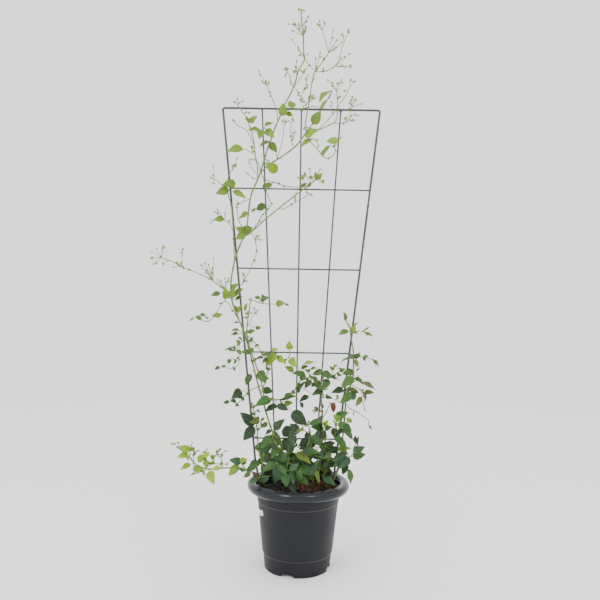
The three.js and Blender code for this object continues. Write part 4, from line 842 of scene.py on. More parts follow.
        [(-224, 699), (-218, 754), (-249, 735)], [(-299, 730), (-290, 773)],
        [(-344, 750), (-371, 765), (-337, 781)], [(-125, 649), (-121, 655)],
        [(-113, 617), (-101, 627)], [(-49, 1078), (-42, 1090)], [(-32, 1083), (-40, 1090)],
        [(-32, 1030), (-27, 1066)], [(12, 908), (21, 911)], [(-13, 895), (-17, 915)],
        [(33, 948), (41, 975)], [(16, 945), (14, 978)],
    ],
    moreBuds=[
        [(-13, 1356), (-13, 1369), (-7, 1365)],
        [(-6, 1309), (-37, 1311), (-29, 1334), (-19, 1335), (0, 1325)], [(-37, 1311), (-47, 1322)],
        [(-5, 1255), (-21, 1265), (-19, 1254), (8, 1255)], [(-6, 1289), (2, 1319)],
        [(39, 1317), (25, 1334), (48, 1332)], [(57, 1260), (78, 1296), (68, 1267)],
        [(92, 1297), (88, 1307), (94, 1301)], [(103, 1306), (108, 1311)],
        [(78, 1229), (115, 1234), (115, 1225), (94, 1227), (90, 1247)],
        [(28, 1217), (24, 1245), (29, 1228)], [(77, 1164), (53, 1190), (66, 1191), (79, 1189)],
        [(110, 1177), (110, 1194)], [(103, 1157), (93, 1164)], [(91, 1139), (81, 1149)],
        [(116, 1125), (141, 1136), (126, 1144), (108, 1140)],
        [(111, 1098), (123, 1087), (116, 1100)],
        [(-92, 1174), (-108, 1187), (-97, 1191), (-88, 1186)], [(-81, 1142), (-89, 1149)],
        [(-44, 1207), (-46, 1219), (-50, 1200)], [(-6, 1205), (-7, 1214), (0, 1213)],
        [(-20, 1192), (-23, 1226), (-28, 1214), (-22, 1235)], [(-5, 1158), (0, 1175), (7, 1179)],
        [(7, 1131), (-5, 1140), (10, 1152), (-1, 1126)], [(22, 1141), (22, 1156), (27, 1148)],
        [(17, 1186), (24, 1191)], [(-164, 1126), (-174, 1138), (-158, 1133)],
        [(-172, 1083), (-170, 1088)], [(-143, 1096), (-140, 1110)],
        [(-122, 1015), (-128, 1029), (-124, 1025)], [(-114, 991), (-129, 993), (-122, 996)],
        [(-131, 978), (-135, 986)], [(-133, 954), (-137, 955)],
        [(-175, 966), (-166, 979), (-174, 981)],
        [(-218, 943), (-228, 945), (-221, 955), (-223, 929)],
        [(-195, 847), (-216, 863), (-190, 863)], [(-165, 876), (-160, 885), (-157, 876)],
        [(-147, 890), (-162, 884)], [(-115, 796), (-103, 798), (-113, 808)],
        [(-139, 698), (-138, 712), (-132, 697)],
        [(-190, 675), (-200, 698), (-188, 704), (-201, 686), (-177, 704)],
        [(-224, 699), (-219, 730), (-237, 739), (-236, 723), (-228, 736)],
        [(-299, 730), (-316, 725), (-308, 741), (-295, 741)],
        [(-344, 750), (-359, 774), (-342, 778), (-363, 730), (-370, 745)],
        [(-332, 726), (-342, 733)], [(-125, 649), (-130, 653)],
        [(-113, 617), (-105, 615), (-110, 622)],
        [(-125, 622), (-117, 634), (-135, 621), (-137, 616)], [(-132, 605), (-137, 604)],
        [(-49, 1078), (-55, 1089)], [(-32, 1083), (-25, 1091)],
        [(-32, 1030), (-22, 1064), (-28, 1047)], [(-83, 985), (-89, 994)], [(12, 908), (11, 917)],
        [(-13, 895), (-21, 899)], [(33, 948), (53, 945), (50, 936)], [(16, 945), (1, 967)],
        [(-1, 1067), (-4, 1073), (19, 1068)], [(69, 1112), (65, 1139), (73, 1110)],
        [(99, 1091), (96, 1099), (101, 1098)], [(83, 1045), (92, 1049)],
        [(-12, 1143), (-20, 1153), (-5, 1141)],
    ],
), dict(
    name="left_stem", seed=2001, root=(-84, -14),
    stems=[
        ((1.6, 1.0), [(-85, -20, 237), (-89, -22, 261), (-98, -22, 288), (-101, -22, 312),
            (-101, -22, 334), (-105, -21, 351), (-109, -19, 370), (-113, -17, 386),
            (-120, -14, 398)]),
    ],
    twigs=[
        ((0.8, 0.6), [(-109, -19, 370), (-103, -21, 380), (-96, -22, 386)]),
        ((0.8, 0.6), [(-104, -22, 346), (-93, -26, 347), (-81, -28, 351)]),
    ],
    leaves=[
        (-112, 342, 135, 48, 0, 40, "d"), (-109, 339, 230, 43, 0, 15, "d"),
        (-97, 360, 185, 36, 55, 0, "o"), (-94, 256, 215, 37, 0, 50, "g"),
    ],
    smallLeaves=[
        (-77, 352, 205, 23, 30, 0, "o"), (-93, 360, 40, 14, 20, 0, "o"),
        (-92, 259, 250, 21, 0, 10, "g"), (-89, 266, 120, 18, 0, 40, "g"),
        (-88, 266, 75, 12, 0, 40, "g"), (-79, 261, 70, 21, 0, 55, "d"),
        (-116, 397, 230, 14, 55, 0, "p"),
    ],
    buds=[
        [(-89, 269), (-94, 277)],
    ],
    moreBuds=[
        [(-89, 269), (-82, 271)],
    ],
), dict(
    name="trailing_branch", seed=3001, root=(-76, -36),
    stems=[
        ((1.7, 1.1), [(-92, -44, 219), (-103, -48, 233), (-117, -50, 244), (-133, -50, 247),
            (-157, -48, 248), (-185, -46, 247), (-212, -44, 242), (-229, -42, 245),
            (-244, -41, 249), (-256, -40, 263), (-265, -40, 275), (-280, -40, 285),
            (-292, -40, 293)]),
        ((0.8, 0.6), [(-212, -44, 242), (-226, -46, 239), (-242, -47, 234)]),
        ((0.8, 0.6), [(-212, -44, 242), (-215, -42, 255), (-221, -42, 264), (-226, -42, 271)]),
        ((0.7, 0.6), [(-213, -43, 250), (-205, -46, 257), (-188, -47, 257), (-173, -48, 256)]),
        ((0.7, 0.6), [(-188, -47, 257), (-187, -47, 273), (-180, -47, 284)]),
        ((0.7, 0.6), [(-262, -40, 271), (-261, -42, 285), (-258, -43, 295)]),
        ((0.7, 0.6), [(-133, -50, 247), (-137, -54, 261), (-138, -55, 271)]),
    ],
    twigs=[
        ((0.7, 0.6), [(-215, -42, 255), (-206, -40, 266), (-196, -40, 278), (-192, -40, 289)]),
        ((0.7, 0.6), [(-251, -40, 257), (-253, -38, 272), (-253, -38, 284)]),
    ],
    leaves=[
        (-260, 289, 160, 32, 20, 0, "y"), (-265, 275, 190, 26, 0, 40, "y"),
        (-259, 253, 205, 24, 0, 45, "y"), (-231, 277, 245, 27, 20, 0, "y"),
        (-251, 248, 315, 36, 45, 0, "y"), (-213, 238, 300, 36, 35, 0, "y"),
        (-137, 264, 165, 29, 0, 20, "p"), (-143, 254, 225, 33, 0, 25, "l"),
        (-102, 255, 210, 27, 0, 40, "g"), (-72, 226, 210, 25, 0, 20, "p"),
    ],
    smallLeaves=[
        (-259, 292, 70, 17, 0, 65, "y"), (-266, 281, 285, 17, 0, 50, "y"),
        (-253, 279, 75, 15, 0, 50, "l"), (-245, 286, 5, 10, 0, 50, "l"),
        (-226, 272, 40, 20, 0, 25, "y"), (-207, 272, 35, 13, 35, 0, "l"),
        (-192, 283, 60, 16, 0, 65, "g"), (-225, 266, 295, 18, 0, 40, "l"),
        (-187, 249, 190, 20, 0, 30, "y"), (-245, 234, 200, 14, 0, 65, "l"),
        (-138, 270, 20, 20, 0, 35, "l"), (-135, 256, 40, 15, 15, 0, "g"),
        (-131, 248, 145, 16, 0, 50, "g"), (-125, 244, 210, 14, 0, 50, "g"),
        (-113, 242, 215, 22, 0, 20, "o"), (-109, 239, 300, 19, 0, 35, "b"),
        (-97, 227, 205, 23, 0, 25, "p"),
    ],
    buds=[
        [(-292, 293), (-289, 307)], [(-173, 256), (-169, 261)], [(-180, 284), (-173, 290)],
        [(-224, 240), (-219, 258)], [(-226, 271), (-219, 293)],
    ],
    moreBuds=[
        [(-292, 293), (-302, 303), (-294, 292)], [(-173, 256), (-169, 253)],
        [(-224, 240), (-228, 234)], [(-226, 271), (-224, 289)],
    ],
), dict(
    name="upright_stem", seed=4001, root=(42, -8),
    stems=[
        ((2.0, 1.2), [(50, -14, 232), (53, -18, 268), (56, -18, 297), (57, -16, 326),
            (54, -14, 350), (56, -12, 376), (53, -11, 400), (52, -11, 425), (56, -14, 445),
            (56, -16, 464), (54, -16, 479)]),
        ((0.8, 0.6), [(57, -13, 362), (66, -15, 379), (70, -16, 392), (76, -16, 399),
            (83, -16, 403)]),
        ((0.8, 0.6), [(54, -16, 469), (65, -19, 467), (77, -20, 467), (78, -20, 482),
            (81, -20, 491)]),
        ((0.7, 0.6), [(56, -12, 379), (45, -14, 387), (36, -16, 384)]),
    ],
    twigs=[
        ((0.7, 0.6), [(77, -20, 467), (89, -20, 473), (96, -20, 481)]),
        ((0.8, 0.6), [(53, -11, 413), (64, -14, 416), (74, -15, 416)]),
        ((0.9, 0.7), [(53, -14, 345), (65, -20, 344), (74, -22, 353)]),
    ],
    leaves=[
        (54, 479, 200, 27, 0, 20, "g"), (55, 478, 330, 28, 0, 10, "g"),
        (69, 459, 235, 32, 30, 0, "d"), (39, 452, 310, 30, 40, 0, "g"),
        (56, 432, 200, 30, 0, 40, "d"), (83, 402, 270, 25, 0, 20, "b"),
        (52, 335, 90, 39, 0, 55, "d"), (55, 334, 290, 28, 0, 35, "g"),
        (50, 362, 200, 31, 0, 50, "g"), (60, 334, 160, 37, 0, 55, "g"),
        (58, 309, 180, 63, 0, 60, "g"), (53, 304, 300, 26, 30, 0, "g"),
        (44, 313, 225, 36, 0, 40, "g"),
    ],
    smallLeaves=[
        (63, 415, 355, 18, 0, 45, "g"), (79, 465, 335, 21, 0, 70, "g"),
        (80, 491, 20, 12, 0, 25, "l"), (95, 480, 25, 17, 0, 15, "g"),
        (98, 487, 170, 10, 0, 50, "l"), (60, 342, 55, 20, 0, 35, "y"),
        (62, 340, 30, 21, 0, 45, "g"), (36, 389, 15, 10, 0, 55, "l"),
        (39, 449, 225, 18, 20, 0, "d"), (52, 398, 300, 14, 0, 15, "o"),
        (46, 380, 5, 16, 0, 60, "b"), (34, 467, 285, 20, 0, 25, "d"),
    ],
    buds=[
        [(36, 384), (35, 374)], [(56, 425), (64, 433)], [(54, 410), (60, 421)],
        [(59, 311), (64, 316)],
    ],
    moreBuds=[
        [(36, 384), (29, 381), (41, 391)], [(59, 311), (53, 310)],
    ],
), dict(
    name="centre_stem", seed=5001, root=(4, -30),
    stems=[
        ((1.8, 1.1), [(6, -42, 234), (10, -46, 269), (19, -46, 300), (27, -42, 323), (26, -38, 339),
            (20, -34, 352)]),
        ((0.9, 0.7), [(26, -40, 333), (9, -42, 340), (-3, -42, 344)]),
        ((0.9, 0.7), [(12, -46, 281), (-5, -48, 303), (-19, -46, 323), (-32, -44, 332)]),
    ],
    leaves=[
        (-42, 336, 0, 43, 0, 30, "d"), (-1, 338, 145, 28, 0, 15, "d"),
        (25, 337, 245, 26, 0, 45, "d"), (-20, 333, 290, 32, 45, 0, "d"),
        (28, 326, 315, 34, 0, 30, "g"), (26, 316, 210, 32, 0, 40, "d"),
        (15, 288, 0, 36, 0, 50, "g"), (-7, 289, 330, 42, 0, 45, "o"),
        (13, 268, 165, 35, 0, 45, "g"), (60, 275, 175, 36, 0, 45, "p"),
        (15, 264, 330, 31, 0, 15, "d"), (-16, 266, 320, 31, 0, 15, "p"),
        (3, 257, 325, 41, 0, 45, "g"), (26, 305, 225, 27, 10, 0, "d"),
        (-31, 322, 265, 26, 20, 0, "d"), (-14, 302, 235, 29, 0, 20, "g"),
        (2, 298, 10, 27, 0, 50, "d"),
    ],
    smallLeaves=[
        (-4, 341, 35, 16, 25, 0, "o"), (21, 352, 85, 16, 0, 60, "o"),
        (-43, 307, 300, 21, 25, 0, "d"),
    ],
    buds=[
        [(21, 348), (23, 358)], [(28, 330), (19, 337)],
    ],
    moreBuds=[
        [(21, 348), (12, 347)], [(28, 330), (33, 322)],
    ],
), dict(
    name="front_stem", seed=6001, root=(-32, -48),
    stems=[
        ((1.8, 1.1), [(-29, -62, 225), (-30, -66, 247), (-26, -66, 264), (-26, -62, 277),
            (-38, -58, 292)]),
        ((1.0, 0.7), [(-26, -66, 264), (-13, -72, 261), (-4, -76, 250)]),
        ((1.0, 0.7), [(-30, -66, 247), (-42, -70, 260), (-54, -70, 269)]),
    ],
    leaves=[
        (-21, 275, 175, 38, 0, 35, "g"), (-25, 263, 185, 35, 0, 40, "g"),
        (-42, 258, 250, 48, 0, 40, "p"), (-33, 247, 280, 35, 10, 0, "g"),
        (-46, 262, 315, 24, 0, 30, "p"), (-18, 251, 280, 31, 0, 40, "p"),
        (5, 260, 250, 27, 25, 0, "g"), (-20, 218, 305, 26, 0, 15, "p"),
        (-8, 234, 330, 38, 0, 50, "g"), (-55, 302, 250, 29, 25, 0, "g"),
        (-54, 269, 210, 36, 0, 40, "g"), (-4, 248, 310, 25, 0, 25, "g"),
        (-20, 256, 35, 27, 20, 0, "p"), (-69, 327, 230, 36, 10, 0, "g"),
        (-57, 325, 225, 36, 0, 20, "g"), (-58, 344, 50, 35, 0, 40, "d"),
        (-26, 293, 75, 25, 0, 25, "d"), (-37, 277, 70, 25, 0, 25, "g"),
    ],
    smallLeaves=[
        (-43, 292, 225, 23, 30, 0, "l"), (-64, 317, 305, 23, 10, 0, "d"),
        (-30, 279, 140, 22, 0, 15, "d"), (-15, 209, 345, 18, 20, 0, "l"),
        (-67, 339, 215, 17, 0, 35, "d"),
    ],
), dict(
    name="yellow_stem", seed=7001, root=(34, -46),
    stems=[
        ((1.5, 1.0), [(35, -54, 224), (36, -58, 249), (39, -58, 268)]),
    ],
    leaves=[
        (35, 250, 295, 33, 0, 50, "o"), (39, 268, 235, 27, 20, 0, "d"),
        (39, 268, 310, 24, 0, 15, "d"), (35, 239, 230, 24, 0, 30, "g"),
    ],
    smallLeaves=[
        (37, 258, 55, 23, 20, 0, "g"),
    ],
), dict(
    name="right_inner_stem", seed=8001, root=(60, -22),
    stems=[
        ((1.5, 0.9), [(62, -26, 221), (66, -30, 247), (73, -32, 271), (77, -32, 293)]),
    ],
    leaves=[
        (64, 231, 80, 39, 0, 45, "o"), (59, 225, 335, 33, 0, 50, "p"),
        (93, 295, 195, 29, 10, 0, "d"), (65, 306, 10, 24, 0, 45, "d"),
    ],
    smallLeaves=[
        (77, 286, 210, 22, 0, 30, "g"), (73, 264, 215, 21, 10, 0, "d"),
    ],
    buds=[
        [(73, 274), (78, 263)],
    ],
), dict(
    name="right_front_stem", seed=9003, root=(78, -30),
    stems=[
        ((1.8, 1.1), [(90, -34, 234), (102, -38, 259), (111, -40, 281), (108, -40, 303),
            (96, -38, 326), (87, -34, 347), (89, -32, 363)]),
        ((0.9, 0.7), [(111, -40, 276), (122, -46, 277), (131, -50, 289), (137, -52, 306)]),
        ((0.8, 0.6), [(102, -38, 259), (113, -44, 263), (120, -48, 255)]),
    ],
    leaves=[
        (88, 370, 25, 33, 0, 15, "g"), (98, 365, 140, 26, 15, 0, "l"),
        (103, 354, 325, 29, 0, 20, "g"), (105, 347, 310, 34, 0, 45, "g"),
        (81, 344, 290, 30, 0, 15, "d"), (85, 326, 320, 38, 0, 45, "g"),
        (94, 293, 10, 34, 0, 55, "l"), (111, 286, 200, 36, 0, 30, "d"),
        (101, 271, 225, 27, 5, 0, "g"), (121, 276, 220, 38, 25, 0, "p"),
        (118, 259, 245, 30, 0, 40, "g"), (118, 251, 280, 36, 0, 45, "g"),
        (139, 308, 85, 24, 0, 60, "p"), (131, 299, 25, 29, 10, 0, "p"),
        (129, 279, 15, 32, 0, 20, "g"),
    ],
    smallLeaves=[
        (113, 371, 315, 20, 25, 0, "l"), (100, 345, 270, 21, 30, 0, "g"),
        (91, 356, 20, 23, 0, 35, "g"), (135, 311, 85, 19, 0, 50, "p"),
        (132, 299, 100, 20, 25, 0, "p"), (108, 296, 150, 15, 25, 0, "y"),
        (106, 288, 335, 18, 30, 0, "g"),
    ],
    buds=[
        [(88, 358), (92, 350)], [(111, 286), (105, 280)],
    ],
    moreBuds=[
        [(88, 358), (83, 354), (81, 363)], [(111, 286), (113, 280)],
    ],
), dict(
    name="right_leg_vine", seed=10002, root=(76, 18),
    stems=[
        ((2.0, 1.2), [(95, 12, 226), (103, 0, 264), (106, -10, 298), (107, -12, 331),
            (110, -12, 360), (111, -11, 384), (113, -11, 414), (120, -11, 436), (128, -10, 458),
            (130, -9, 482), (130, -9, 506), (129, -9, 531), (125, -9, 550), (122, -10, 565),
            (121, -11, 580), (116, -12, 592), (109, -13, 603)]),
        ((0.7, 0.6), [(130, -9, 506), (141, -10, 516), (153, -10, 514), (170, -10, 511),
            (182, -10, 505), (190, -10, 497)]),
        ((0.8, 0.6), [(128, -10, 458), (139, -13, 459), (150, -15, 454)]),
        ((0.8, 0.6), [(122, -11, 437), (139, -14, 439), (150, -16, 434), (157, -16, 428)]),
        ((0.7, 0.6), [(149, -16, 434), (154, -18, 423), (159, -18, 411), (153, -18, 401),
            (159, -18, 391)]),
        ((0.8, 0.6), [(112, -11, 396), (98, -14, 403), (86, -16, 409)]),
    ],
    twigs=[
        ((0.7, 0.6), [(121, -11, 577), (137, -13, 578), (154, -14, 577)]),
        ((0.7, 0.6), [(111, -11, 389), (123, -14, 387), (137, -16, 383), (155, -16, 371),
            (171, -16, 359), (167, -16, 351)]),
    ],
    leaves=[
        (116, 577, 200, 27, 0, 40, "p"), (119, 511, 205, 24, 0, 65, "o"),
        (171, 510, 320, 28, 0, 75, "g"), (131, 478, 190, 30, 0, 30, "g"),
        (129, 467, 220, 41, 0, 40, "g"), (132, 462, 330, 27, 0, 55, "g"),
        (150, 454, 335, 36, 0, 60, "o"), (157, 427, 5, 26, 0, 45, "o"),
        (111, 431, 10, 31, 0, 55, "o"), (124, 428, 300, 32, 40, 0, "g"),
        (150, 418, 235, 27, 15, 0, "o"), (122, 428, 220, 35, 20, 0, "g"),
        (109, 428, 190, 33, 0, 40, "d"),
    ],
    smallLeaves=[
        (122, 576, 340, 21, 0, 55, "b"), (156, 573, 340, 21, 0, 45, "o"),
        (154, 577, 300, 13, 0, 50, "g"), (156, 577, 35, 18, 0, 70, "p"),
        (109, 603, 105, 23, 0, 45, "p"), (122, 577, 65, 22, 20, 0, "l"),
        (130, 591, 40, 13, 0, 50, "o"), (128, 511, 130, 20, 30, 0, "p"),
        (131, 511, 50, 23, 35, 0, "p"), (133, 507, 295, 19, 0, 20, "o"),
        (180, 503, 295, 17, 0, 70, "g"), (126, 429, 350, 21, 0, 10, "g"),
        (151, 432, 290, 23, 0, 60, "p"), (159, 391, 270, 9, 0, 50, "b"),
        (167, 351, 305, 16, 0, 65, "b"), (133, 381, 265, 11, 0, 65, "b"),
        (144, 486, 210, 11, 0, 50, "o"),
    ],
    buds=[
        [(86, 409), (95, 419)],
    ],
    moreBuds=[
        [(86, 409), (92, 416)],
    ],
)]

backPlants = [
    dict(name="back_stem_left", seed=11001, root=(-46, 42),
         route=[(-48, 48, 215), (-56, 54, 240), (-58, 56, 270)]),
    dict(name="back_stem_right", seed=12001, root=(36, 46),
         route=[(40, 50, 215), (48, 54, 242), (46, 54, 276)]),
]

# the rule by which the part places its leaves and buds; the finer ones are placed by it too
growth = dict(
    leafShape=0.54, camber=0.07, fold=0.04, petiole=0.75, budLength=7.0, budRadius=1.8,
    bladeClear=1.5, betweenBlades=4.0, betweenPlants=1.2, potClear=3.0, mixClear=9.0, nearBy=12.0,
    rootDepth=34.0, rootTop=12.0, rootStray=0.5, leafStray=0.7, budStray=0.9, backFrom=20,
    frontShare=0.7, leastLean=6, leanRange=16, pointEvery=6,
    shifts=(0, -7, 7, -14, 14, -21, 21, -30, 30),
)

# what a blade may not come near: points with a radius, an owner and whether they are on a blade
taken = dict(
    at=np.zeros((0, 3)), radius=np.zeros(0), owner=np.zeros(0, int), blade=np.zeros(0, bool),
)


def take(at, radius, owner, blade):
    more = dict(
        at=at, radius=np.broadcast_to(radius, len(at)), owner=np.full(len(at), owner),
        blade=np.broadcast_to(blade, len(at)))
    for key, values in more.items():
        taken[key] = np.concatenate([taken[key], values])


def takeTube(points, radii, owner):
    # a point every few millimetres along the route
    for i in range(1, len(points)):
        steps = math.ceil(np.linalg.norm(points[i] - points[i - 1]) / growth["pointEvery"])
        share = np.arange(steps)[:, None] / steps
        at = points[i - 1] + (points[i] - points[i - 1]) * share
        run = (i - 1 + share[:, 0]) / (len(points) - 1)
        take(at, radii[0] + (radii[1] - radii[0]) * run, owner, False)


def isClear(at, radius, blade, owner, apart):
    # clear of the rim, of the mix and of what other plants have taken; two blades of one plant keep
    # apart only where it is asked
    g, p = growth, pot
    r = np.hypot(at[:, 0], at[:, 1])
    fromRim = np.hypot(r - p["rimCentre"], at[:, 2] - p["rimHeight"])
    overPot = r <= p["rimCentre"] + p["rimRadius"]
    if ((fromRim < p["rimRadius"] + g["potClear"]).any()
            or ((at[:, 2] <= mix["top"] + g["mixClear"]) & overPot).any()):
        return False
    low, high = at.min(0) - g["nearBy"], at.max(0) + g["nearBy"]
    near = ((taken["at"] > low) & (taken["at"] < high)).all(1)
    bothBlades = taken["blade"][near][None] & blade[:, None]
    between = np.where(bothBlades, g["betweenBlades"], g["betweenPlants"])
    reach = radius[:, None] + taken["radius"][near][None] + between
    distance = np.linalg.norm(at[:, None] - taken["at"][near][None], axis=-1)
    counts = (taken["owner"][near] != owner)[None] | (bothBlades & apart)
    return not (counts & (distance <= reach)).any()


def outline(s):
    # width of a leaf at share s of its length, 1 at its widest: broad near the foot, drawn to a tip
    return 2.857 * s ** 0.55 * (1 - s) ** 1.1


def bladeFrame(foot, heading, length, lean, turn):
    flat, side = math.cos(lean), np.array([-math.sin(heading), 0, math.cos(heading)])
    along = np.array([flat * math.cos(heading), math.sin(lean), flat * math.sin(heading)])
    across = side * math.cos(turn) + np.cross(along, side) * math.sin(turn)
    normal = np.cross(along, across)
    return dict(foot=foot, along=along, across=across, normal=normal, length=length)


def bladePoints(blade, s, t):
    # along the midrib, across it, and the rise of camber and fold
    g = growth
    half = blade["length"] * g["leafShape"] * outline(s) / 2
    rise = blade["length"] * g["camber"] * 4 * s * (1 - s) + half * 2 * g["fold"] * np.abs(t)
    return (blade["foot"] + (blade["length"] * s)[:, None] * blade["along"]
            + (half * t)[:, None] * blade["across"] + rise[:, None] * blade["normal"])


# the points that stand for a leaf: three on its stalk, then five across the blade at nine stations
sampleS, sampleT = np.repeat(np.arange(9) / 8, 5), np.tile(np.linspace(-1, 1, 5), 9)
sampleBlade = np.arange(3 + len(sampleS)) > 2
sampleRadius = np.where(sampleBlade, growth["bladeClear"], growth["petiole"])


def bladeSamples(blade, start):
    share = 0.25 + 0.75 * np.arange(1, 4)[:, None] / 4
    return np.concatenate([
        start + (blade["foot"] - start) * share, bladePoints(blade, sampleS, sampleT)])


def nearest(knots, point, flat=False):
    # seen from the front where flat is asked
    spots = np.array(knots)
    gap = (spots - point) * ((1, 0, 1) if flat else (1, 1, 1))
    return spots[np.argmin(np.hypot(np.hypot(gap[:, 0], gap[:, 1]), gap[:, 2]))]


def growStems(plant, owner, stems):
    # knots are the middles of a route's stretches, and its end
    knots, routes = plant["knots"], plant["routes"]
    for radii, route in stems:
        points = [np.array(point, float) for point in route]
        first = not routes
        if first:
            x, y = plant["root"]
            points[:0] = [np.array([x, y, mix["top"] + up])
                          for up in (-growth["rootDepth"], growth["rootTop"])]
        else:
            points[0] = nearest(knots, points[0]).copy()
        routes.append((points, radii))
        takeTube(points, radii, owner)
        for k in range(3 if first else 1, len(points)):
            back, at = points[k - 1], points[k]
            knots.append((back + at) / 2)
            if k == len(points) - 1:
                knots.append(at + (back - at) * radii[1] / np.linalg.norm(at - back))


def beside(knot, row):
    return knot + np.array([growth["rootStray"] * (next(row) - 0.5) for _ in range(3)])


def placeLeaves(plant, owner, leaves, seed):
    # each leaf in its place in the picture, at the first depth that is clear
    g, row, placed = growth, randomRow(seed), []
    front = 1 if plant["root"][1] > g["backFrom"] else -1
    for x, z, heading, length, lean, turn, tone in leaves:
        start = beside(nearest(plant["knots"], np.array([x, 0, z]), True), row)
        stray = (next(row) - 0.5) * g["leafStray"] * math.hypot(x - start[0], z - start[2])
        way = front if next(row) < g["frontShare"] else -front
        tilt = math.radians(max(lean, g["leastLean"] + g["leanRange"] * next(row)))
        reach = length if lean > 0 else length / math.cos(tilt)
        roll = -math.radians(turn) * (1 if math.cos(math.radians(heading)) >= 0 else -1)
        for apart, shift in [(apart, shift) for apart in (True, False) for shift in g["shifts"]]:
            foot = np.array([x, start[1] + stray + shift, z])
            blade = bladeFrame(foot, math.radians(heading), reach, way * tilt, roll)
            samples = bladeSamples(blade, start)
            if isClear(samples, sampleRadius, sampleBlade, owner, apart):
                take(samples, sampleRadius, owner, sampleBlade)
                placed.append(dict(blade, start=start, tone=tone))
                break
    return placed


def placeBuds(plant, owner, groups, seed):
    # each bud as (start of its stalk, tip), at the first depth that is clear
    g, row, placed = growth, randomRow(seed), []
    share = np.array([0.4, 0.6, 0.8, 1.0])[:, None]
    radius, blade = np.full(4, g["budRadius"]), np.zeros(4, bool)
    for at, *tips in groups:
        knot = nearest(plant["knots"], np.array([at[0], 0, at[1]]), True)
        for x, z in tips:
            start = beside(knot, row)
            depth = (next(row) - 0.5) * g["budStray"] * math.hypot(x - start[0], z - start[2])
            for shift in g["shifts"]:
                tip = np.array([x, start[1] + depth + shift, z])
                if isClear(start + (tip - start) * share, radius, blade, owner, False):
                    placed.append((start, tip))
                    break
    return placed


# the leaves of the back plants; a pair of numbers is the least value and how much is added at most
backLeaves = dict(
    shade=16, spread=70, height=(206, 46), length=(24, 14), lean=20, turn=25, darkShare=0.7,
    pairOut=12, pairUp=4, pairHeadings={-1: (155, 30), 1: (25, -30)}, pairLength=(44, 12),
    pairLean=(20, 25), pairTurn=20, topUp=8, topHeading=(80, 20), topLeaf=(46, 15, 10),
)


def shadeLeaves(root, seed):
    # small dark leaves close over the mix, fanned out from a back plant
    b, row = backLeaves, randomRow(seed)
    within = lambda key: b[key][0] + b[key][1] * next(row)
    return [(root[0] + b["spread"] * (next(row) - 0.5), within("height"), 360 * next(row),
             within("length"), b["lean"] * next(row), b["turn"] * next(row),
             "d" if next(row) < b["darkShare"] else "g") for _ in range(b["shade"])]


def pairedLeaves(route, seed):
    # a pair at each point of the route, and one leaf that stands on its top
    b, row, leaves = backLeaves, randomRow(seed), []
    within = lambda pair: pair[0] + pair[1] * next(row)
    for i, (x, _, z) in enumerate(route[1:]):
        for side in (-1, 1):
            leaves.append((
                x + side * b["pairOut"], z + b["pairUp"], within(b["pairHeadings"][side]),
                within(b["pairLength"]), within(b["pairLean"]), b["pairTurn"] * next(row), "g"))
        if i == len(route) - 2:
            leaves.append((x, z + b["topUp"], within(b["topHeading"]), *b["topLeaf"], "g"))
    return leaves


for back in backPlants:
    plants.append(dict(
        name=back["name"], seed=back["seed"], root=back["root"],
        stems=[((1.8, 1.1), back["route"])], leaves=pairedLeaves(back["route"], back["seed"] + 2),
        smallLeaves=shadeLeaves(back["root"], back["seed"] + 3),
    ))

wireOwner = -1  # no plant's own number

for owner, plant in enumerate(plants):
    plant.update(knots=[], routes=[])
    growStems(plant, owner, plant["stems"])

t = trellis
wireTop = t["topHeight"] - t["frameWire"] - 1.4 * t["gap"]
wireHeights = np.array([t["uprightFoot"], (t["uprightFoot"] + wireTop) / 2, wireTop])
frameCorners = framePath([t["legEnd"], t["legBend"]], [174, 150, 120, 90], [])
takeTube(frameCorners, [t["frameWire"]] * 2, wireOwner)
for i in range(t["uprights"]):
    takeTube(uprightPath(i, wireHeights), [t["innerWire"]] * 2, wireOwner)
for height in t["crossbars"]:
    takeTube(crossbarPath(height, (-1, 0, 1)), [t["innerWire"]] * 2, wireOwner)

for owner, plant in enumerate(plants):
    plant["blades"] = placeLeaves(plant, owner, plant["leaves"], plant["seed"])
    plant["tips"] = placeBuds(plant, owner, plant.get("buds", ()), plant["seed"] + 1)
print("leaves of the solids placed:", sum(len(plant["blades"]) for plant in plants))

for owner, plant in enumerate(plants):
    growStems(plant, owner, plant.get("twigs", ()))
    plant["blades"] += placeLeaves(plant, owner, plant.get("smallLeaves", ()), plant["seed"] + 5)
    plant["tips"] += placeBuds(plant, owner, plant.get("moreBuds", ()), plant["seed"] + 6)
print("all leaves placed:", sum(len(plant["blades"]) for plant in plants))

# a long bud stalk may fork once
forks = dict(
    share=0.75, shortest=9.0, at=(0.35, 0.65), length=(6.0, 11.0), spreadDegrees=(28, 50),
    stray=0.35, seed=77,
)


def forkedTips(tips, rng):
    # a second bud beside the first: it leaves the stalk part of the way up, turned away from it
    extra = []
    for start, tip in tips:
        reach = np.linalg.norm(tip - start)
        if reach < forks["shortest"] or rng.random() > forks["share"]:
            continue
        along = (tip - start) / reach
        side = unit(np.cross(along, (0, 1, 0)) + forks["stray"] * rng.standard_normal(3))
        spread = math.radians(rng.uniform(*forks["spreadDegrees"])) * rng.choice((-1, 1))
        root = start + (tip - start) * rng.uniform(*forks["at"])
        way = along * math.cos(spread) + side * math.sin(spread)
        extra.append((root, root + way * rng.uniform(*forks["length"])))
    return extra


# a thin stem has a pair of small bracts at some of its knots, which low on the plant are young
# leaves, larger and at nearly every knot; high ones and those of the fresh plants are bright
bracts = dict(
    widest=1.2, share=0.5, length=(3.5, 8.0), lowBelow=600.0, lowWidest=1.6, lowShare=0.85,
    lowLength=(7.0, 15.0), barer=dict(right_leg_vine=0.35), spreadDegrees=(25, 55), lean=0.4,
    turn=0.5, freshAbove=620.0, fresh=("trailing_branch", "yellow_stem"), seed=78,
)


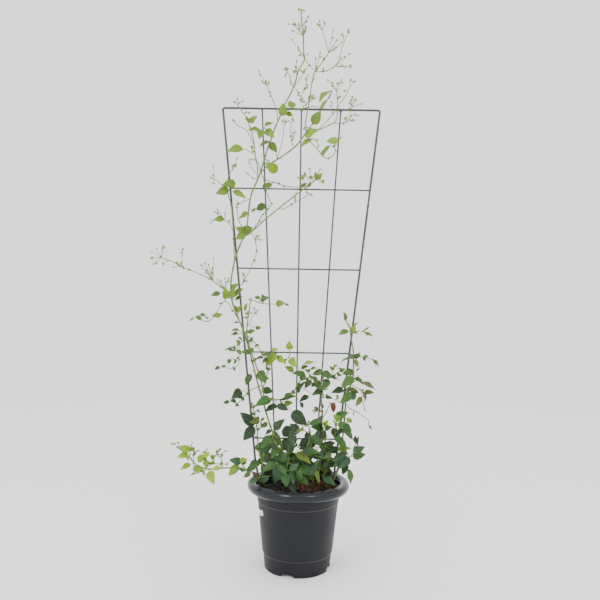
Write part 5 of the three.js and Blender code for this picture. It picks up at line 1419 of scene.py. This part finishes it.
def bractBlades(plant, rng):
    # small blades in pairs where a thin stem changes its way
    b, blades = bracts, []
    barer = b["barer"].get(plant["name"], 1.0)
    for points, radii in plant["routes"]:
        for before, knot in zip(points[:-1], points[1:-1]):
            keys = ("lowWidest", "lowShare", "lowLength") if knot[2] < b["lowBelow"] else (
                "widest", "share", "length")
            widest, share, lengths = (b[key] for key in keys)
            if radii[0] > widest or rng.random() > share * barer:
                continue
            along = unit(knot - before)
            fresh = knot[2] > b["freshAbove"] or plant["name"] in b["fresh"]
            for side in (-1, 1):
                heading = (math.atan2(along[2], along[0])
                           + side * math.radians(rng.uniform(*b["spreadDegrees"])))
                length = rng.uniform(*lengths)
                lean, turn = rng.normal(0, b["lean"]), rng.normal(0, b["turn"])
                blade = bladeFrame(knot, heading, length, lean, turn)
                blades.append(dict(blade, start=knot, tone="l" if fresh else "g"))
    return blades


for plant in plants:
    plant["tips"] += forkedTips(plant["tips"], np.random.default_rng(forks["seed"] + plant["seed"]))
    plant["bracts"] = bractBlades(plant, np.random.default_rng(bracts["seed"] + plant["seed"]))

# redBelow names the plants whose stems are red up to a height, and firstRed is for their first
# stem; a stem thinner than redOver stays green
stemLooks = dict(
    sides=8, fullerFrom=(1.2, 2.0), fuller=(1.1, 0.88), skin=0.16, swelling=1.35,
    swellingLength=5.0, fresh="#5f7728", old="#38321c", oldBelow=250, oldFades=50, red="#4d3622",
    redBelow=dict(upright_stem=440, right_leg_vine=470), redFades=60, redOver=1.0,
    firstRed=0.8, otherRed=0.4,
    stalk=dict(sides=6, radius=0.9, taper=0.8, bright=1.05, shortest=1.5),
    budStalk=dict(sides=5, radius=0.88, taper=0.75, tone="#6b7a34"), stalkPoints=6, stalkCurve=0.45,
)


def makeStems(plant, piece, blades, tips):
    # every route, leaf stalk and bud stalk of one plant: a smooth line with a tube round it,
    # thicker at the knots
    looks, skins = stemLooks, []
    fresh, old, red = (linear(looks[key]) for key in ("fresh", "old", "red"))
    for number, (points, radii) in enumerate(plant["routes"]):
        path = softened(points)
        radius = radii[0] + (radii[1] - radii[0]) * np.linspace(0, 1, len(path))
        radius = radius * np.interp(radius, looks["fullerFrom"], looks["fuller"]) + looks["skin"]
        for knot in points[1:-1]:
            nearKnot = np.exp(-(np.linalg.norm(path - knot, axis=1) / looks["swellingLength"]) ** 2)
            radius = radius * (1 + (looks["swelling"] - 1) * nearKnot)
        rings = tubeRings(path, radius, looks["sides"])
        age = np.clip((looks["oldBelow"] - path[:, 2]) / looks["oldFades"], 0, 1)[:, None]
        tone = fresh * (1 - age) + old * age
        if plant["name"] in looks["redBelow"] and radii[0] > looks["redOver"]:
            below = looks["redBelow"][plant["name"]] - path[:, 2]
            share = looks["otherRed"] if number else looks["firstRed"]
            reddish = np.clip(below / looks["redFades"], 0, 1)[:, None] * share
            tone = tone * (1 - reddish) + red * reddish
        tones = np.broadcast_to(tone[:, None], rings.shape)
        skins.append(shells(np.concatenate([rings, tones], -1)[None]))
    leaf, bud = looks["stalk"], looks["budStalk"]
    stalks = [curvedStalk(blade["start"], blade["foot"], blade["along"]) for blade in blades
              if np.linalg.norm(blade["foot"] - blade["start"]) > leaf["shortest"]]
    if stalks:
        skins.append(stalkShells(stalks, leaf, fresh * leaf["bright"]))
    if tips:
        stalks = [curvedStalk(start, budFoot(start, tip), budAlong(start, tip))
                  for start, tip in tips]
        skins.append(stalkShells(stalks, bud, linear(bud["tone"])))
    skin = joined(skins)
    addPiece(piece, skin, "stem", [plant["name"]], dict(stemColour=opaque(skin[0][:, 3:6])))


def curvedStalk(start, end, endAlong):
    # a quadratic curve that leaves the stem and arrives the way that the blade or bud points
    control = end - endAlong * np.linalg.norm(end - start) * stemLooks["stalkCurve"]
    u = np.linspace(0, 1, stemLooks["stalkPoints"])[:, None]
    return (1 - u) ** 2 * start + 2 * u * (1 - u) * control + u ** 2 * end


def guideFor(lean):
    # the Y axis, or the X axis for a line that leans far towards Y
    return np.where(lean < 0.8, (0.0, 1.0, 0.0), (1.0, 0.0, 0.0))


def stalkShells(paths, looks, tone):
    # many thin tubes at once: rings square to each path
    paths = np.array(paths)
    along = unit(np.gradient(paths, axis=1))
    radii = np.linspace(1.0, looks["taper"], paths.shape[1]) * looks["radius"]
    guide = guideFor(np.abs(along[..., 1:2]).max(1, keepdims=True))
    spread = spokes(*squareTo(along, guide), looks["sides"])
    rings = paths[:, :, None] + radii[:, None, None] * spread
    return shells(np.concatenate([rings, np.broadcast_to(tone, rings.shape)], -1))


def budAlong(start, tip):
    return (tip - start) / np.linalg.norm(tip - start)


def budFoot(start, tip):
    # a bud takes up no more than four fifths of its stalk's way
    return tip - budAlong(start, tip) * min(growth["budLength"], 0.8 * np.linalg.norm(tip - start))


# ring is the way across the blade and back under it, and under marks the underside. broad is how
# much wider a leaf of a tone is than the part's rule has it. Pairs are the ends of a range.
leafLooks = dict(
    stations=(0.002, 0.05, 0.14, 0.27, 0.42, 0.58, 0.74, 0.89, 0.978),
    ring=(1, 0.5, 0, -0.5, -1, -0.5, 0, 0.5), under=(0, 0, 0, 0, 0, 1, 1, 1), thickness=0.75,
    fold=0.16, foldShare=0.7, wave=0.16, waveSize=(0.3, 1), waveTurns=(1.2, 2.4), waveStep=1.3,
    twist=0.3, droop=0.09, droopSize=(-0.3, 1), bend=0.03, hang=(0, 0.06),
    tones=dict(y="#7fa20c", l="#608119", g="#264e18", d="#143313", p="#25472a", o="#4c5f1a",
               b="#6b2f1b"),
    broad=dict(y=1.15, l=1.18, g=1.14, d=1.14, p=1.12), underside="#62803f", undersideShare=0.6,
    youngFrom=400.0, youngOver=200.0, youngShare=0.5, bright=0.16, brightest=(0.7, 1.4), warm=0.06,
    paler=0.12, gloss=(0.34, 0.48), underGloss=0.68,
)


def makeLeaves(plant, piece, blades):
    # foot + along * L * s + across * half * t + normal * rise, where rise is the sum of
    # L * (4 camber s (1 - s) - droop s^2) and
    # half * (2 fold |t| + wave t^2 sin(turns of s) + twist s t)
    looks, g, count = leafLooks, growth, len(blades)
    rng = np.random.default_rng(plant["seed"])
    s = np.array(looks["stations"])[None, :, None]
    t, under = (np.array(looks[key], float)[None, None] for key in ("ring", "under"))
    each = lambda values: np.asarray(values, float).reshape(count, 1, 1)
    drawn = lambda key: rng.uniform(*looks[key], count)
    length = each([blade["length"] for blade in blades])
    breadth = each([looks["broad"].get(blade["tone"], 1.0) for blade in blades])
    half = breadth * length * g["leafShape"] * outline(s) / 2
    fold = rng.uniform(0, looks["fold"], count)
    fold = each(g["fold"] + fold * (rng.random(count) < looks["foldShare"]))
    wave = each(drawn("waveSize") * looks["wave"])
    phase = each(rng.uniform(0, 6.28, count))
    turns = each(drawn("waveTurns"))
    twist = each(rng.normal(0, 0.5, count) * looks["twist"])
    droop = each(drawn("droopSize") * looks["droop"])
    bend = each(rng.normal(0, looks["bend"], count))
    edge = np.sin(2 * math.pi * turns * s + phase + looks["waveStep"] * np.sign(t)) * t ** 2
    rise = (length * (g["camber"] * 4 * s * (1 - s) - droop * s ** 2)
            + half * (2 * fold * np.abs(t) + wave * edge + twist * s * t)
            - under * looks["thickness"] * (1.05 - 0.5 * s) * (1 - 0.5 * t ** 2))
    sideways = half * t + length * bend * (s * s - s)
    axis = lambda key: np.array([blade[key] for blade in blades])[:, None, None]
    rings = (axis("foot") + (length * s + 0 * t)[..., None] * axis("along")
             + (sideways + 0 * s)[..., None] * axis("across") + rise[..., None] * axis("normal"))
    rings[..., 2] -= (length * each(drawn("hang")) * s ** 2) + 0 * t
    tones = np.array([linear(looks["tones"][blade["tone"]]) for blade in blades])
    # higher leaves are younger, so they take on a share of the fresh tone
    height = np.array([blade["foot"][2] for blade in blades])[:, None]
    young = looks["youngShare"] * np.clip((height - looks["youngFrom"]) / looks["youngOver"], 0, 1)
    tones = tones * (1 - young) + linear(looks["tones"]["l"]) * young
    bright = np.clip(1 + looks["bright"] * rng.standard_normal((count, 1)), *looks["brightest"])
    warm = 1 + rng.normal(0, looks["warm"], (count, 3)) * (1, 0.3, 1)
    tones = (tones * bright * warm)[:, None, None]
    tipwards = 1 + looks["paler"] * (s - 0.5)[..., None]
    share = looks["undersideShare"]
    pale = linear(looks["underside"]) * share + tones * (1 - share)
    colours = tones * tipwards * (1 - under[..., None]) + pale * under[..., None]
    gloss = each(drawn("gloss")) * (1 - under) + looks["underGloss"] * under + 0 * s
    spread = lambda values: np.broadcast_to(values, rings.shape[:3])[..., None]
    skin = shells(np.concatenate([
        rings, spread(s), spread(t), spread(half), np.broadcast_to(colours, rings.shape),
        spread(gloss), spread(np.abs(t) > 0.99)], -1))
    rows = skin[0]
    addPiece(piece, skin, "leaf", [plant["name"]],
             dict(leafPlace=rows[:, 3:6], leafColour=rows[:, 6:10]), creased=rows[:, 10] > 0.99)


budLooks = dict(
    sides=8, stations=(0.0, 0.1, 0.25, 0.45, 0.68, 0.88, 0.98), sepals=4, ribs=0.08,
    widths=(0.42, 0.72, 0.95, 1.0, 0.78, 0.36, 0.1), size=(1.1, 1.6),
    tones=("#86944a", "#98a350", "#6d8234", "#8f9a5c"), bright=(0.85, 1.1),
)


def makeBuds(plant, piece, tips):
    # an ovoid of four sepals: radius * width(s) * (1 - ribs cos 4 turn), closed to a point
    looks, count = budLooks, len(tips)
    rng = np.random.default_rng(plant["seed"] + 1)
    starts, ends = np.array([start for start, _ in tips]), np.array([tip for _, tip in tips])
    feet = np.array([budFoot(start, tip) for start, tip in tips])
    along = unit(ends - starts)
    across, up = squareTo(along, guideFor(np.abs(along[:, 1:2])))
    s, width = np.array(looks["stations"]), np.array(looks["widths"])
    size = rng.uniform(*looks["size"], count)
    ribbed = 1 - looks["ribs"] * np.cos(looks["sepals"] * around(looks["sides"]))
    radius = (growth["budRadius"] * size[:, None, None] * width[:, None] * ribbed)[..., None]
    centre = feet[:, None] + (ends - feet)[:, None] * s[:, None]
    rings = centre[:, :, None] + radius * spokes(across[:, None], up[:, None], looks["sides"])
    tones = np.array([linear(tone) for tone in looks["tones"]])
    tones = tones[rng.integers(0, len(tones), count)] * rng.uniform(*looks["bright"], (count, 1))
    skin = shells(np.concatenate([rings, np.broadcast_to(tones[:, None, None], rings.shape)], -1))
    addPiece(piece, skin, "bud", [plant["name"]], dict(budColour=opaque(skin[0][:, 3:6])))


for plant in plants:
    words = plant["name"].split("_")
    stem = words[0] + "".join(word.capitalize() for word in words[1:])
    makeStems(plant, stem + "Stems", plant["blades"], plant["tips"])
    makeLeaves(plant, stem + "Leaves", plant["blades"] + plant["bracts"])
    if plant["tips"]:
        makeBuds(plant, stem + "Buds", plant["tips"])
print("plants made:", len(plants), "buds:", sum(len(plant["tips"]) for plant in plants))

# in metres and watts: a light is its name, place, the point that it faces, width and power
studio = dict(
    floorSize=14.0, floorDrop=0.0004, sky="#ffffff", skyStrength=1.7,
    lights=(
        ("windowLight", (-1.3, -1.9, 2.6), (0, 0, 0.6), 1.0, 30.0),
        ("fillLight", (1.3, -1.9, 2.4), (0, 0, 0.6), 0.8, 14.0),
        ("backLight", (0.9, 1.9, 2.0), (0, 0, 0.7), 1.4, 6.0),
    ),
)


def makeFloor():
    half, low = studio["floorSize"] / 2, -studio["floorDrop"]
    corners = [(-half, -half, low), (half, -half, low), (half, half, low), (-half, half, low)]
    mesh = bpy.data.meshes.new("studioFloor")
    mesh.from_pydata(corners, [], [(0, 1, 2, 3)])
    mesh.materials.append(finishes["floor"])
    floor = bpy.data.objects.new("studioFloor", mesh)
    bpy.context.scene.collection.objects.link(floor)


def makeLight(name, place, target, size, power):
    lamp = bpy.data.lights.new(name, "AREA")
    lamp.shape, lamp.size, lamp.energy = "DISK", size, power
    light = bpy.data.objects.new(name, lamp)
    away = np.subtract(place, target)
    light.location = place
    light.rotation_euler = (
        math.acos(away[2] / np.linalg.norm(away)), 0, math.atan2(away[0], -away[1]))
    bpy.context.scene.collection.objects.link(light)


def makeSky():
    world = bpy.data.worlds.new("paleRoom")
    world.use_nodes = True
    background = world.node_tree.nodes["Background"]
    background.inputs[0].default_value = colour(studio["sky"])
    background.inputs[1].default_value = studio["skyStrength"]
    bpy.context.scene.world = world


# where the photographer's lens was, and how far the picture leans
photoView = dict(
    place=(-3.6, -1590, 651), lens=38.8, sensor=36.0, leanDegrees=0.98, clip=(50, 60000),
)


def makeCamera():
    # level with the ground, looking along +Y, and leaning a little about that line
    view = photoView
    lens = bpy.data.cameras.new("photoLens")
    lens.lens, lens.sensor_width = view["lens"], view["sensor"]
    lens.clip_start, lens.clip_end = (length * mm for length in view["clip"])
    camera = bpy.data.objects.new("photoCamera", lens)
    camera.location = [length * mm for length in view["place"]]
    camera.rotation_euler = (math.radians(90), -math.radians(view["leanDegrees"]), 0)
    bpy.context.scene.collection.objects.link(camera)
    bpy.context.scene.camera = camera


makeFloor()
for light in studio["lights"]:
    makeLight(*light)
makeSky()
makeCamera()
print("floor, light and camera made")
